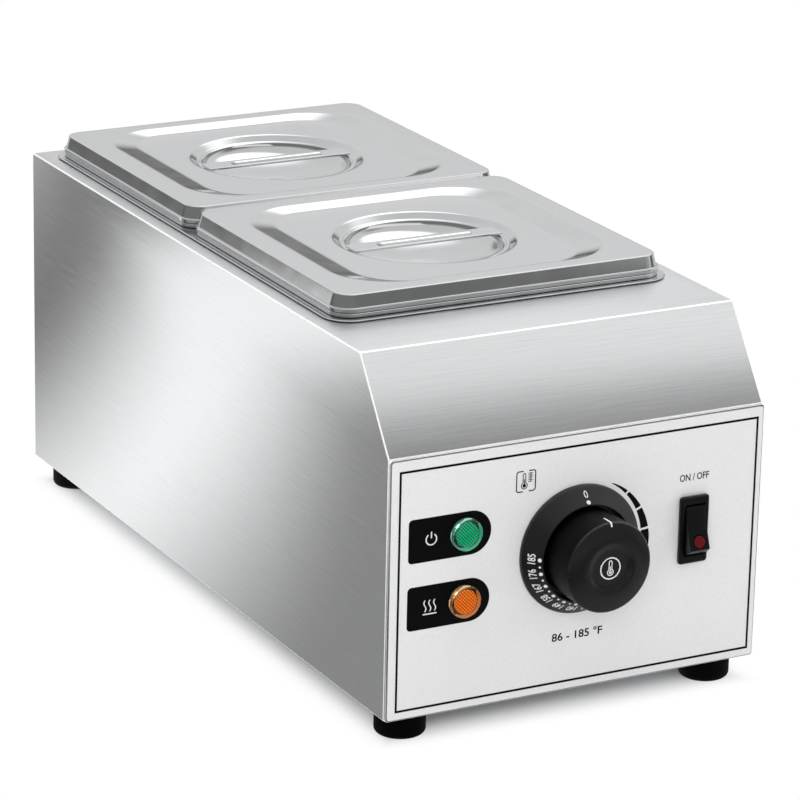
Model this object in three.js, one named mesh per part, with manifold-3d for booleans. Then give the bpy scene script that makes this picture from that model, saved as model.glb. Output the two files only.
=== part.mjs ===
// Chocolate tempering machine: a bench-top warmer with two lidded pans hung in one water tank.
// Millimetres, +Z up, the control panel faces -Y and the body runs along Y.

import * as THREE from 'three';
import { mergeVertices } from 'three/addons/utils/BufferGeometryUtils.js';
import Module from 'manifold-3d';

const wasm = await Module();
wasm.setup();

// Clearances
const seamGap = 0.3;
const cutOverrun = 3;

// How far a quarter round has gone, on both sides, at its middle
const filletShare = 0.3;

// Food pans, one sixth size, side by side along the body
const panWidth = 176;
const panLength = 162;
const panGap = 1;
const panDepth = 100;
const panSheet = 0.8;
const panRimWidth = 12;
const panRimRise = 2;
const panRimCorner = 11;
const panMouthCorner = 20;
const panShoulderRadius = 1.6;
const panTaper = 7;
const panFloorFillet = 12;

// Lids
const lidSideOverhang = 0.3;
const lidEndOverhang = 0.2;
const lidSheet = 0.8;
const lidCorner = 11;
const lidLipHeight = 1.8;
const lidLipRound = 0.5;
const lidLedge = 0.9;
const lidBevelRun = 1.7;
const lidRise = 8.1;
const lidDeckRound = 0.5;
const recessSideMargin = 20.3;
const recessEndMargin = 15.2;
const recessCorner = 32;
const recessDepth = 3.4;
const recessWallRun = 6.4;
const recessRound = 0.7;
const recessRoundShare = 0.4;
const dishRadius = 45;
const dishSlopeRun = 3.6;
const dishStepDepth = 1.9;
const dishStepWidth = 1.1;
const dishRidgeHalfWidth = 0.9;
const dishRidgeHeight = 0.6;
const bowlDepth = 13;
const bowlShares = [[0.95, 0.3], [0.82, 0.64], [0.58, 0.9], [0.24, 1]];

// Lid handles, strips of sheet laid across the dish
const strapOverlap = 1.1;
const strapWidth = 11;
const strapSheet = 1.2;
const strapBeadLength = 52;
const strapBeadWidth = 5;
const strapBeadRise = 1.1;
const strapBeadShares = [[0, 0], [0.5, 0.8], [1, 1]];

// Water tank
const wellSeat = 6;
const wellFlangeMargin = 3.5;
const wellFlangeCorner = 14;
const wellMouthCorner = 20;
const wellShoulderRadius = 2;
const tankSheet = 1;
const waterDepth = 27.8;
const underTankHeight = 43.5;
const tankFloorFillet = 8;

// Bar between the pans
const barWidth = 20;
const barSheet = 1;
const barLegHeight = 9;
const barTabHeight = 16;

// Housing
const sideLedge = 11;
const rearLedge = 8.8;
const frontShelf = 42.7;
const slopeRun = 32.1;
const slopeRise = 42.2;
const housingSheet = 1;
const housingEdge = 1;
const bendShares = [[0, 1], [0.3, 0.3], [1, 0]];
const housingCorner = 2.4;
const bottomLipWidth = 22;
const frontLipWidth = 8;

// Control panel and its printed film
const panelSheet = 1.2;
const panelReturnDepth = 12;
const panelCorner = 1.2;
const faceHoleClearance = 0.5;
const filmSheet = 0.4;
const filmMargin = 0.8;

// Bottom plate
const plateSheet = 1;
const plateInset = 4;
const plateCorner = 5;
const slotCount = 5;
const slotLength = 36;
const slotWidth = 5;
const slotPitch = 19;
const slotBankOffset = 72;

// Feet and their fixings
const footHeight = 11.4;
const footRadius = 12.2;
const footToeRadius = 9.6;
const footRound = 2.8;
const footShoulderRound = 1.1;
const footInsetX = 16.5;
const footInsetY = 17;
const footBoreRadius = 2.9;
const footRecessRadius = 5.2;
const footRecessDepth = 5.4;
const footScrewRadius = 2.5;
const footScrewHeadRadius = 4.6;
const footScrewHeadHeight = 2.7;
const footNutRadius = 4.6;
const footNutHeight = 4;

// Screws of the bottom plate
const plateScrewRadius = 1.7;
const plateScrewHeadRadius = 3.6;
const plateScrewHeadHeight = 2.2;
const plateScrewLength = 7;
const plateScrewInset = 11;
const plateScrewOffset = 78;

// Pan-head form that all the screws share, as shares of the head's radius and height
const screwCrownShare = 0.7;
const screwEdgeShare = 0.6;

// Dial and thermostat, heights are measured from the body's bottom edge
const dialHeight = 70.2;
const bezelRadius = 31.4;
const bezelRimHeight = 1.4;
const bezelRimRun = 0.8;
const bezelConeFootHeight = 2.4;
const bezelLipWidth = 2;
const bezelHeight = 8.8;
const bezelRound = 0.4;
const bezelFloor = 2;
const knobRadius = 22;
const knobClearance = 1.2;
const knobFootRise = 0.8;
const knobHeight = 30.4;
const knobDraft = 0.5;
const knobEdgeRise = 3.2;
const knobFaceShares = [[1, 0], [0.97, 0.3], [0.88, 0.66], [0.74, 0.93], [0.59, 1]];
const knobDishShares = [[1, 0.1], [0.9, 0.75], [0.8, 1], [0, 1]];
const knobDishRadius = 11.7;
const knobDishDepth = 1.3;
const knobWall = 2.4;
const knobFaceWall = 4;
const knobHubRadius = 6.4;
const knobRibCount = 6;
const knobRibThickness = 1.4;
const knobRibSetback = 5;
const pointerWidth = 1.2;
const pointerDepth = 0.7;
const pointerSideLength = 6;
const pointerFaceLength = 3.4;
const spindleRadius = 3;
const spindleFlat = 1;
const spindleSetback = 9.4;
const spindleSocketDepth = 8;
const thermostatWidth = 34;
const thermostatHeight = 38;
const thermostatDepth = 24;
const thermostatCorner = 3;
const thermostatBracketSheet = 1.2;
const thermostatBracketWidth = 24;
const thermostatBracketHeight = 52;
const thermostatScrewInset = 5.6;
const thermostatScrewRadius = 1.9;
const thermostatScrewHeadRadius = 3.4;
const thermostatScrewHeadHeight = 2.2;
const screwRunout = 1;
const dialHoleClearance = 2;
const capillaryInset = 6;
const bladeWidth = 6.3;
const bladeSheet = 0.8;
const bladeLength = 8;
const bladeRowShare = 0.25;
const bulbRadius = 3;
const bulbLength = 78;
const bulbOffset = 12;
const bulbSetback = 46;
const capillaryRadius = 0.9;
const clipSheet = 1;
const clipWidth = 14;
const clipEarLength = 8;

// Indicator lamps
const lampInset = 39.2;
const powerLampHeight = 86.4;
const heatLampHeight = 53.7;
const lampFlangeRadius = 7.8;
const lampFlangeHeight = 1.3;
const lampDomeHeight = 4.9;
const domeShares = [[0.95, 0.38], [0.8, 0.7], [0.5, 0.93], [0, 1]];
const lampStubRadius = 4.7;
const lampStubLength = 6;
const lampBodyRadius = 5.6;
const lampBodyLength = 21;
const lampNutRadius = 8;
const lampNutHeight = 2.4;
const lampBladeWidth = 2.8;
const lampBladePitch = 5;

// Rocker switch
const switchInset = 37.4;
const switchHeight = 70.2;
const switchFrameWidth = 15.4;
const switchFrameHeight = 33.2;
const switchFrameRise = 2.3;
const switchFrameCorner = 1.4;
const switchFrameBevel = 0.6;
const switchSideLip = 0.9;
const switchEndLip = 2.4;
const switchSideWall = 1.3;
const switchEndWall = 1.35;
const switchBodyDepth = 22;
const rockerPivotDepth = 1;
const rockerWaist = 6;
const rockerClearance = 0.45;
const switchBladePitch = 9.4;
const rockerTipAngle = 34;
const rockerHeelAngle = 20;
const rockerTilt = 15;
const trunnionRadius = 1.4;
const trunnionLength = 1;
const switchLensRadius = 2.9;
const switchLensHeight = 2;
const switchLensRise = 0.6;
const switchLensDomeShares = [[1, 0.4], [0.6, 1], [0, 1]];
const switchLensShare = 0.62;

// Heating element on the tank's floor
const elementRadius = 4;
const elementFloorGap = 12;
const elementRuns = 4;
const elementSideSetback = 30.1;
const elementRearSetback = 28.5;
const elementFrontSetback = 34.5;
const elementTailLength = 14;
const elementPinRadius = 1.6;
const elementPinLength = 10;
const glandRadius = 6.6;
const glandFlangeRadius = 8.6;
const glandFlangeHeight = 2.4;
const glandThreadLength = 9;
const glandNutRadius = 10.5;
const glandNutHeight = 5;
const supportWidth = 12;
const supportSheet = 1.2;
const supportInset = 10;
const supportSetback = 60;
const supportArches = 4;

// Overheat limiter on the tank's front wall
const limiterRadius = 8.6;
const limiterDepth = 9;
const limiterEarLength = 34;
const limiterEarWidth = 9;
const limiterEarSheet = 1;
const limiterHoleRadius = 1.7;
const limiterRise = 48.5;
const limiterEdge = 1.2;
const limiterBladePitch = 8;

// Terminal block and cable gland
const blockLength = 34;
const blockWidth = 20;
const blockHeight = 17;
const blockCorner = 1.5;
const blockWays = 3;
const blockWireRadius = 2;
const blockScrewRadius = 2.6;
const blockScrewDepth = 6;
const blockShift = 14;
const blockSetback = 49;
const inletInset = 37;
const inletHeight = 27;
const inletHoleRadius = 8.2;
const inletThreadRadius = 7.8;
const inletThreadLength = 9;
const inletBoreRadius = 4.6;
const inletHexRadius = 12;
const inletHexHeight = 5;
const inletDomeRadius = 10.4;
const inletDomeHeight = 9;
const inletDomeShares = [[1, 0], [1, 0.4], [0.84, 0.8], [0.62, 1], [0, 1]];
const inletNutHeight = 4;

// Facet counts
const pressedCornerSteps = 4;
const bendSteps = 2;
const slotEndSteps = 1;
const dialSides = 32;
const smallSides = 16;
const screwSides = 8;
const footSides = 12;
const lampSides = 16;
const bulbSides = 6;
const elementSides = 8;
const hairpinSteps = 5;
const capillarySteps = 12;
const rockerEndSteps = 4;

// Names of the four corners, in the order in which their places are listed
const cornerNames = ['front_left', 'front_right', 'rear_left', 'rear_right'];

// Heights from the table up
const bodyBottom = footHeight + plateSheet + 2 * seamGap;
const tankFloor = bodyBottom + underTankHeight;
const panRimTop = tankFloor + waterDepth + panSheet + panDepth;
const wellFlangeTop = panRimTop - panRimRise - seamGap;
const bodyTop = wellFlangeTop - tankSheet - seamGap;
const bodyHeight = bodyTop - bodyBottom;
const frontHeight = bodyHeight - slopeRise;
const lidLipBottom = panRimTop + seamGap;
const lidDeck = lidLipBottom + lidRise;
const lidFloor = lidDeck - recessDepth;
const elementHeight = tankFloor + elementFloorGap + elementRadius;
const limiterHeight = tankFloor + limiterRise;

// Places along and across the body, from the middle between the pans
const panPitch = panLength + panGap;
const pansHalfLength = (panPitch + panLength) / 2;
const halfWidth = panWidth / 2 + sideLedge;
const bodyRear = pansHalfLength + rearLedge;
const bodyFront = -pansHalfLength - frontShelf - slopeRun;
const wellHalfX = panWidth / 2 - wellSeat;
const wellHalfY = pansHalfLength - wellSeat;
const panelFront = -filmSheet - seamGap;
const panelBack = panelFront - panelSheet;
const housingFront = bodyFront - panelBack + seamGap;
const lampX = lampInset - halfWidth;
const switchX = halfWidth - switchInset;
const inletX = halfWidth - inletInset;
const elementOuterX = wellHalfX - elementSideSetback;
const elementInnerX = elementOuterX / (elementRuns - 1);
const elementRearY = wellHalfY - elementRearSetback;
const elementFrontY = elementFrontSetback - wellHalfY;
const supportOffset = wellHalfY - supportSetback;
const supportReach = wellHalfX - supportInset;

// Sizes that follow from the pieces around them
const lidWidth = panWidth + 2 * lidSideOverhang;
const lidLength = panLength + 2 * lidEndOverhang;
const dishStepRadius = dishRadius - dishSlopeRun;
const dishRidgeRadius = dishStepRadius - dishStepWidth - dishRidgeHalfWidth;
const spindleReach = knobHeight - spindleSetback;
const thermostatScrewOffset = knobRadius - knobWall - thermostatScrewInset;
const switchBodyWidth = switchFrameWidth - 2 * switchSideLip;
const switchBodyHeight = switchFrameHeight - 2 * switchEndLip;
const rockerWidth = switchBodyWidth - 2 * (switchSideWall + seamGap);
const rockerRadius = switchBodyHeight / 2 - switchEndWall - rockerClearance;

// Solids and cuts

function toSolid(geometry) {
  const bare = geometry.clone();
  bare.deleteAttribute('normal');
  bare.deleteAttribute('uv');
  const merged = mergeVertices(bare);
  const index = merged.index.array;
  const kept = [];
  for (let i = 0; i < index.length; i += 3) {
    const [a, b, c] = [index[i], index[i + 1], index[i + 2]];
    if (a !== b && b !== c && c !== a) kept.push(a, b, c);
  }
  const mesh = new wasm.Mesh({
    numProp: 3,
    vertProperties: Float32Array.from(merged.attributes.position.array),
    triVerts: Uint32Array.from(kept),
  });
  return new wasm.Manifold(mesh);
}

function toGeometry(solid) {
  const mesh = solid.getMesh();
  const geometry = new THREE.BufferGeometry();
  geometry.setAttribute('position', new THREE.BufferAttribute(mesh.vertProperties, mesh.numProp));
  geometry.setIndex(new THREE.BufferAttribute(mesh.triVerts, 1));
  const faceted = geometry.toNonIndexed();
  faceted.computeVertexNormals();
  return faceted;
}

const join = (first, ...others) => others.reduce((sum, solid) => sum.add(solid), first);
const cut = (solid, ...tools) => tools.reduce((rest, tool) => rest.subtract(tool), solid);

function moved(geometry, x, y, z) {
  return toSolid(geometry.clone().translate(x, y, z));
}

// A box between two values on each axis
function block(x0, x1, y0, y1, z0, z1) {
  const geometry = new THREE.BoxGeometry(x1 - x0, y1 - y0, z1 - z0);
  return moved(geometry, (x0 + x1) / 2, (y0 + y1) / 2, (z0 + z1) / 2);
}

// A solid turned about Z from a profile of (radius, height)
function turned(profile, sides) {
  const points = profile.map(([radius, height]) => new THREE.Vector2(radius, height));
  return new THREE.LatheGeometry(points, sides).rotateX(Math.PI / 2);
}

// The same, for a ring whose profile closes on itself
const turnedRing = (profile, sides) => turned([...profile, profile[0]], sides);

// A round bar along Z
function bar(radius, z0, z1, sides = smallSides) {
  return turned([[0, z0], [radius, z0], [radius, z1], [0, z1]], sides);
}

// A hexagon along Z, its radius taken over the corners
const hexBar = (radius, z0, z1) => bar(radius, z0, z1, 6);

// A round-cornered rectangle, counter-clockwise, about a centre
function roundedOutline(halfX, halfY, corner, steps, centreX = 0, centreY = 0) {
  const points = [];
  for (let quarter = 0; quarter < 4; quarter++) {
    const signX = quarter === 0 || quarter === 3 ? 1 : -1;
    const signY = quarter < 2 ? 1 : -1;
    for (let i = 0; i <= steps; i++) {
      const angle = (quarter + i / steps) * Math.PI / 2;
      const x = centreX + signX * (halfX - corner) + corner * Math.cos(angle);
      const y = centreY + signY * (halfY - corner) + corner * Math.sin(angle);
      points.push(new THREE.Vector2(x, y));
    }
  }
  return points;
}

// An outline extruded from one height to another
function prism(outline, z0, z1) {
  const shape = new THREE.Shape(outline);
  const geometry = new THREE.ExtrudeGeometry(shape, { depth: z1 - z0, bevelEnabled: false });
  return moved(geometry, 0, 0, z0);
}

// An outline in Y and Z extruded both ways along X
function prismAlongX(outline, width) {
  const shape = new THREE.Shape(outline);
  const geometry = new THREE.ExtrudeGeometry(shape, { depth: width, bevelEnabled: false });
  geometry.translate(0, 0, -width / 2);
  const turn = new THREE.Matrix4().makeBasis(
    new THREE.Vector3(0, 1, 0),
    new THREE.Vector3(0, 0, 1),
    new THREE.Vector3(1, 0, 0),
  );
  return toSolid(geometry.applyMatrix4(turn));
}

// A closed skin through loops of equal counts, with a fan over each end
function loft(loops) {
  const count = loops[0].length;
  const positions = loops.flat().flatMap((point) => [point.x, point.y, point.z]);
  const triangles = [];
  for (let ring = 0; ring + 1 < loops.length; ring++) {
    for (let i = 0; i < count; i++) {
      const a = ring * count + i;
      const b = ring * count + (i + 1) % count;
      triangles.push(a, b, b + count, a, b + count, a + count);
    }
  }
  for (const [ring, flip] of [[0, true], [loops.length - 1, false]]) {
    const centre = new THREE.Vector3();
    for (const point of loops[ring]) centre.addScaledVector(point, 1 / count);
    const middle = positions.length / 3;
    positions.push(centre.x, centre.y, centre.z);
    for (let i = 0; i < count; i++) {
      const a = ring * count + i;
      const b = ring * count + (i + 1) % count;
      triangles.push(...(flip ? [b, a, middle] : [a, b, middle]));
    }
  }
  const geometry = new THREE.BufferGeometry();
  geometry.setAttribute('position', new THREE.Float32BufferAttribute(positions, 3));
  geometry.setIndex(signedVolume(positions, triangles) < 0 ? triangles.reverse() : triangles);
  return geometry;
}

function signedVolume(positions, triangles) {
  const corner = (i) => new THREE.Vector3().fromArray(positions, triangles[i] * 3);
  let volume = 0;
  for (let i = 0; i < triangles.length; i += 3) {
    volume += corner(i).dot(corner(i + 1).cross(corner(i + 2))) / 6;
  }
  return volume;
}

// A point list pushed sideways, square to its own run, by a distance
function offsetSection(section, distance) {
  return section.map((point, i) => {
    const before = section[Math.max(i - 1, 0)];
    const after = section[Math.min(i + 1, section.length - 1)];
    const inward = point.clone().sub(before).normalize();
    const outward = after.clone().sub(point).normalize();
    const run = inward.add(outward).normalize();
    const bend = after.clone().sub(point).normalize();
    const reach = i === 0 || i === section.length - 1 ? 1 : run.dot(bend);
    return point.clone().add(new THREE.Vector2(-run.y, run.x).multiplyScalar(distance / reach));
  });
}

// A pressed sheet: its upper face passes through stations from the outer edge to the centre.
// A station is a round-cornered rectangle, or a circle where its three sizes are alike.
function pressedSheet(stations, sheet) {
  const section = stations.map(([halfX, , , z]) => new THREE.Vector2(halfX, z));
  const centre = new THREE.Vector2(0, section[section.length - 1].y);
  const below = offsetSection([...section, centre], sheet);
  const upper = stations.map((station) => pressedLoop(station, 0, station[3]));
  const lower = stations.map((station, i) => {
    return pressedLoop(station, below[i].x - section[i].x, below[i].y);
  });
  return toSolid(loft([...upper.reverse(), ...lower]));
}

function pressedLoop([halfX, halfY, corner], grow, z) {
  const round = halfX === corner && halfY === corner;
  const outline = round
    ? circleOutline(corner + grow)
    : roundedOutline(halfX + grow, halfY + grow, corner + grow, pressedCornerSteps);
  return outline.map((point) => new THREE.Vector3(point.x, point.y, z));
}

// A circle with as many points as a round-cornered rectangle has
function circleOutline(radius) {
  const count = 4 * (pressedCornerSteps + 1);
  return Array.from({ length: count }, (_, i) => {
    const angle = (i + 0.5) / count * 2 * Math.PI;
    return new THREE.Vector2(radius * Math.cos(angle), radius * Math.sin(angle));
  });
}

const circle = (radius, z) => [radius, radius, radius, z];

// A rectangle station, drawn in from the full size of its piece
function drawnIn(width, length, corner, inset, z) {
  return [width / 2 - inset, length / 2 - inset, corner - inset, z];
}

// A round tube through points, its radius named at each of them
function pipe(path, radii, sides) {
  const points = path.map((point) => new THREE.Vector3(...point));
  const up = new THREE.Vector3(0, 0, 1);
  const loops = points.map((point, i) => {
    const before = points[Math.max(i - 1, 0)];
    const after = points[Math.min(i + 1, points.length - 1)];
    const along = after.clone().sub(before).normalize();
    const side = along.clone().cross(up).normalize();
    const top = side.clone().cross(along);
    return Array.from({ length: sides }, (_, k) => {
      const angle = k / sides * 2 * Math.PI;
      const reach = side.clone().multiplyScalar(Math.cos(angle));
      reach.addScaledVector(top, Math.sin(angle)).multiplyScalar(radii[i]);
      return point.clone().add(reach);
    });
  });
  return toSolid(loft(loops));
}

// Housing

// The side view of the body, drawn in by an inset and with bent corners
function sideOutline(inset, corner) {
  const rise = bodyHeight - frontHeight;
  const run = bodyFront + slopeRun - housingFront;
  const slope = Math.atan2(rise, run);
  const low = bodyBottom + inset;
  const high = bodyTop - inset;
  const front = housingFront + inset;
  const rear = bodyRear - inset;
  const foot = bodyBottom + frontHeight - inset * Math.tan(Math.PI / 4 - slope / 2);
  const head = housingFront + run + inset * Math.tan(slope / 2);
  const corners = [[front, low], [rear, low], [rear, high], [head, high], [front, foot]];
  return bentCorners(corners, corner);
}

// Each corner of an outline rounded to a radius, in equal steps
function bentCorners(corners, radius) {
  const points = corners.map(([x, y]) => new THREE.Vector2(x, y));
  return points.flatMap((point, i) => {
    const toLast = points[(i + points.length - 1) % points.length].clone().sub(point).normalize();
    const toNext = points[(i + 1) % points.length].clone().sub(point).normalize();
    const half = toLast.angleTo(toNext) / 2;
    const start = point.clone().addScaledVector(toLast, radius / Math.tan(half));
    const end = point.clone().addScaledVector(toNext, radius / Math.tan(half));
    const curve = new THREE.QuadraticBezierCurve(start, point, end);
    return curve.getPoints(bendSteps);
  });
}

function sideLoop(x, inset) {
  return sideOutline(inset, housingCorner).map((point) => new THREE.Vector3(x, point.x, point.y));
}

// The folded and welded sheet before its openings, with bent long edges
function housingShell() {
  const left = bendShares.map(([run, inset]) => {
    return sideLoop(run * housingEdge - halfWidth, inset * housingEdge);
  });
  const right = bendShares.toReversed().map(([run, inset]) => {
    return sideLoop(halfWidth - run * housingEdge, inset * housingEdge);
  });
  const inside = sideOutline(housingSheet, housingCorner - housingSheet);
  return toSolid(loft([...left, ...right])).subtract(prismAlongX(inside, 2 * (halfWidth - housingSheet)));
}

function housing() {
  const lowCut = bodyBottom - cutOverrun;
  const lipTop = bodyBottom + cutOverrun;
  const openHalfX = halfWidth - bottomLipWidth;
  const windowHalfX = halfWidth - frontLipWidth;
  const bottomOpening = block(
    -openHalfX, openHalfX, housingFront + bottomLipWidth, bodyRear - bottomLipWidth, lowCut, lipTop,
  );
  const window = block(
    -windowHalfX, windowHalfX, housingFront - cutOverrun, housingFront + cutOverrun,
    bodyBottom + frontLipWidth, bodyBottom + frontHeight - frontLipWidth,
  );
  const wellMargin = wellShoulderRadius + tankSheet + seamGap;
  const wellOutline = roundedOutline(
    wellHalfX + wellMargin, wellHalfY + wellMargin, wellMouthCorner + wellMargin, bendSteps,
  );
  const wellHole = prism(wellOutline, bodyTop - cutOverrun, bodyTop + cutOverrun);
  const inletHole = toSolid(bar(inletHoleRadius, -cutOverrun, cutOverrun).rotateX(-Math.PI / 2)
    .translate(inletX, bodyRear, bodyBottom + inletHeight));
  const screwHoles = [
    ...footPlaces().map(([x, y]) => moved(bar(footBoreRadius, lowCut, lipTop, screwSides), x, y, 0)),
    ...plateScrewPlaces().map(([x, y]) => {
      return moved(bar(plateScrewRadius + seamGap, lowCut, lipTop, screwSides), x, y, 0);
    }),
  ];
  return cut(housingShell(), bottomOpening, window, wellHole, inletHole, ...screwHoles);
}

function footPlaces() {
  const ys = [bodyFront + footInsetY, bodyRear - footInsetY];
  return ys.flatMap((y) => [-1, 1].map((side) => [side * (halfWidth - footInsetX), y]));
}

function plateScrewPlaces() {
  const ys = [-plateScrewOffset, plateScrewOffset];
  return ys.flatMap((y) => [-1, 1].map((side) => [side * (halfWidth - plateScrewInset), y]));
}

// Bottom plate with two banks of vent slots

function bottomPlate() {
  const halfLength = (bodyRear - housingFront) / 2 - plateInset;
  const middle = (bodyRear + housingFront) / 2;
  const outline = roundedOutline(halfWidth - plateInset, halfLength, plateCorner, bendSteps, 0, middle);
  const low = footHeight + seamGap;
  const high = low + plateSheet;
  const through = (radius) => bar(radius, low - cutOverrun, high + cutOverrun, screwSides);
  const slots = slotPlaces().map(([x, y]) => {
    const slot = roundedOutline(slotLength / 2, slotWidth / 2, slotWidth / 2, slotEndSteps, x, y);
    return prism(slot, low - cutOverrun, high + cutOverrun);
  });
  const footHoles = footPlaces().map(([x, y]) => moved(through(footBoreRadius), x, y, 0));
  const screwHoles = plateScrewPlaces().map(([x, y]) => moved(through(plateScrewRadius + seamGap), x, y, 0));
  return cut(prism(outline, low, high), ...slots, ...footHoles, ...screwHoles);
}

function slotPlaces() {
  const banks = [-slotBankOffset, slotBankOffset];
  return banks.flatMap((bank) => Array.from({ length: slotCount }, (_, i) => {
    return [0, bank + (i - (slotCount - 1) / 2) * slotPitch];
  }));
}

// Water tank, one deep pressed well with a flange that hangs on the housing's top

function waterTank() {
  const wide = 2 * wellHalfX;
  const long = 2 * wellHalfY;
  const flange = wellSeat + wellFlangeMargin;
  const station = (inset, z) => drawnIn(wide, long, wellMouthCorner, inset, z);
  const well = pressedSheet([
    [wellHalfX + flange, wellHalfY + flange, wellFlangeCorner, wellFlangeTop],
    station(-wellShoulderRadius, wellFlangeTop),
    station(-wellShoulderRadius * filletShare, wellFlangeTop - wellShoulderRadius * filletShare),
    station(0, wellFlangeTop - wellShoulderRadius),
    station(0, tankFloor + tankFloorFillet),
    station(tankFloorFillet * filletShare, tankFloor + tankFloorFillet * filletShare),
    station(tankFloorFillet, tankFloor),
  ], tankSheet);
  const glandHoles = [-1, 1].map((side) => {
    const drill = bar(glandRadius + seamGap, -cutOverrun, cutOverrun).rotateX(Math.PI / 2);
    return moved(drill, side * elementOuterX, -wellHalfY, elementHeight);
  });
  return cut(well, ...glandHoles);
}

// An inverted channel that carries the inner rims of both pans
function dividerBar() {
  const halfSpan = wellHalfX - seamGap;
  const halfBar = barWidth / 2;
  const top = wellFlangeTop;
  const under = top - barSheet;
  const legs = [-1, 1].map((side) => {
    const [y0, y1] = [side * halfBar, side * (halfBar - barSheet)].sort((a, b) => a - b);
    return block(-halfSpan, halfSpan, y0, y1, top - barLegHeight, top);
  });
  const tabs = [-1, 1].map((side) => {
    const [x0, x1] = [side * halfSpan, side * (halfSpan - barSheet)].sort((a, b) => a - b);
    return block(x0, x1, -halfBar, halfBar, top - barTabHeight, top);
  });
  return join(block(-halfSpan, halfSpan, -halfBar, halfBar, under, top), ...legs, ...tabs);
}

// A pan about its own middle, its rim turned down on the flange
function pan() {
  const rim = (inset, z) => drawnIn(panWidth, panLength, panRimCorner, inset, z);
  const wall = (inset, z) => {
    return drawnIn(panWidth - 2 * panRimWidth, panLength - 2 * panRimWidth, panMouthCorner, inset, z);
  };
  const floor = panRimTop - panDepth;
  return pressedSheet([
    rim(0, panRimTop - panRimRise),
    rim(0, panRimTop - panSheet),
    rim(panSheet, panRimTop),
    wall(-panShoulderRadius, panRimTop),
    wall(-panShoulderRadius * filletShare, panRimTop - panShoulderRadius * filletShare),
    wall(0, panRimTop - panShoulderRadius),
    wall(panTaper * (1 - panFloorFillet / panDepth), floor + panFloorFillet),
    wall(panTaper + panFloorFillet * filletShare, floor + panFloorFillet * filletShare),
    wall(panTaper + panFloorFillet, floor),
  ], panSheet);
}

// A lid about its own middle: lip, bevel, deck, sunk field and a round dish for the fingers
function lid() {
  const edge = (inset, z) => drawnIn(lidWidth, lidLength, lidCorner, inset, z);
  const field = (inset, z) => {
    return drawnIn(lidWidth - 2 * recessSideMargin, lidLength - 2 * recessEndMargin, recessCorner, inset, z);
  };
  const lipTop = lidLipBottom + lidLipHeight;
  const bevelTop = lidLedge + lidBevelRun;
  const step = lidFloor - dishStepDepth;
  const bowlRadius = dishRidgeRadius - dishRidgeHalfWidth;
  return pressedSheet([
    edge(0, lidLipBottom),
    edge(0, lipTop - lidLipRound),
    edge(lidLedge, lipTop),
    edge(bevelTop, lidDeck - lidDeckRound),
    edge(bevelTop + lidDeckRound, lidDeck),
    field(0, lidDeck),
    field(recessRound, lidDeck - recessRound * recessRoundShare),
    field(recessWallRun - recessRound, lidFloor + recessRound * recessRoundShare),
    field(recessWallRun, lidFloor),
    circle(dishRadius, lidFloor),
    circle(dishStepRadius, step),
    circle(dishRidgeRadius + dishRidgeHalfWidth, step),
    circle(dishRidgeRadius, step + dishRidgeHeight),
    circle(bowlRadius, step),
    ...bowlShares.map(([reach, drop]) => circle(bowlRadius * reach, step - bowlDepth * drop)),
  ], lidSheet);
}

// The strap across the dish, laid on the dish's ridge, with a raised bead along its middle
function strap() {
  const halfLength = dishRidgeRadius + strapOverlap;
  const halfWide = strapWidth / 2;
  const low = lidFloor - dishStepDepth + dishRidgeHeight + seamGap;
  const top = low + strapSheet;
  const strip = block(-halfLength, halfLength, -halfWide, halfWide, low, top);
  return join(strip, toSolid(loft(beadLoops(top))));
}

// The bead's outlines from the middle of the sheet up to its crown
function beadLoops(top) {
  const outline = (inset, z) => {
    const halfX = strapBeadLength / 2 - inset;
    const halfY = strapBeadWidth / 2 - inset;
    return roundedOutline(halfX, halfY, halfY, bendSteps).map((p) => new THREE.Vector3(p.x, p.y, z));
  };
  const raised = strapBeadShares.map(([inset, rise]) => {
    return outline(strapBeadRise / 2 * inset, top + strapBeadRise * rise);
  });
  return [outline(0, top - strapSheet / 2), ...raised];
}

// Heating element, one bent tube with a thinner pin at each end

function heatingElement() {
  const wallY = -(wellHalfY + tankSheet);
  const tailY = wallY - elementTailLength;
  const pinY = tailY - elementPinLength;
  const at = (x, y) => [x, y, elementHeight];
  const bendRadius = (elementOuterX - elementInnerX) / 2;
  const bendMiddle = (elementOuterX + elementInnerX) / 2;
  const path = [
    at(-elementOuterX, pinY), at(-elementOuterX, tailY), at(-elementOuterX, tailY),
    ...hairpin(-bendMiddle, elementRearY, bendRadius, 1),
    ...hairpin(0, elementFrontY, elementInnerX, -1),
    ...hairpin(bendMiddle, elementRearY, bendRadius, 1),
    at(elementOuterX, tailY), at(elementOuterX, tailY), at(elementOuterX, pinY),
  ];
  const radii = path.map((point, i) => {
    return i < 2 || i > path.length - 3 ? elementPinRadius : elementRadius;
  });
  return pipe(path, radii, elementSides);
}

// A half turn from left to right, bulging to the rear (1) or to the front (-1)
function hairpin(x, y, radius, side) {
  return Array.from({ length: hairpinSteps + 1 }, (_, i) => {
    const angle = Math.PI * (1 - i / hairpinSteps);
    return [x + radius * Math.cos(angle), y + side * radius * Math.sin(angle), elementHeight];
  });
}

// The threaded bush through the tank's wall, along Z from the wall's inner face outwards
function elementGland() {
  const bore = elementRadius + seamGap;
  return toSolid(turnedRing([
    [bore, -seamGap - glandFlangeHeight],
    [glandFlangeRadius, -seamGap - glandFlangeHeight],
    [glandFlangeRadius, -seamGap],
    [glandRadius, -seamGap],
    [glandRadius, glandThreadLength],
    [bore, glandThreadLength],
  ], smallSides));
}

function hexNut(radius, boreRadius, z0, z1, boreSides = smallSides) {
  return cut(
    toSolid(hexBar(radius, z0, z1)),
    toSolid(bar(boreRadius, z0 - cutOverrun, z1 + cutOverrun, boreSides)),
  );
}

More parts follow.
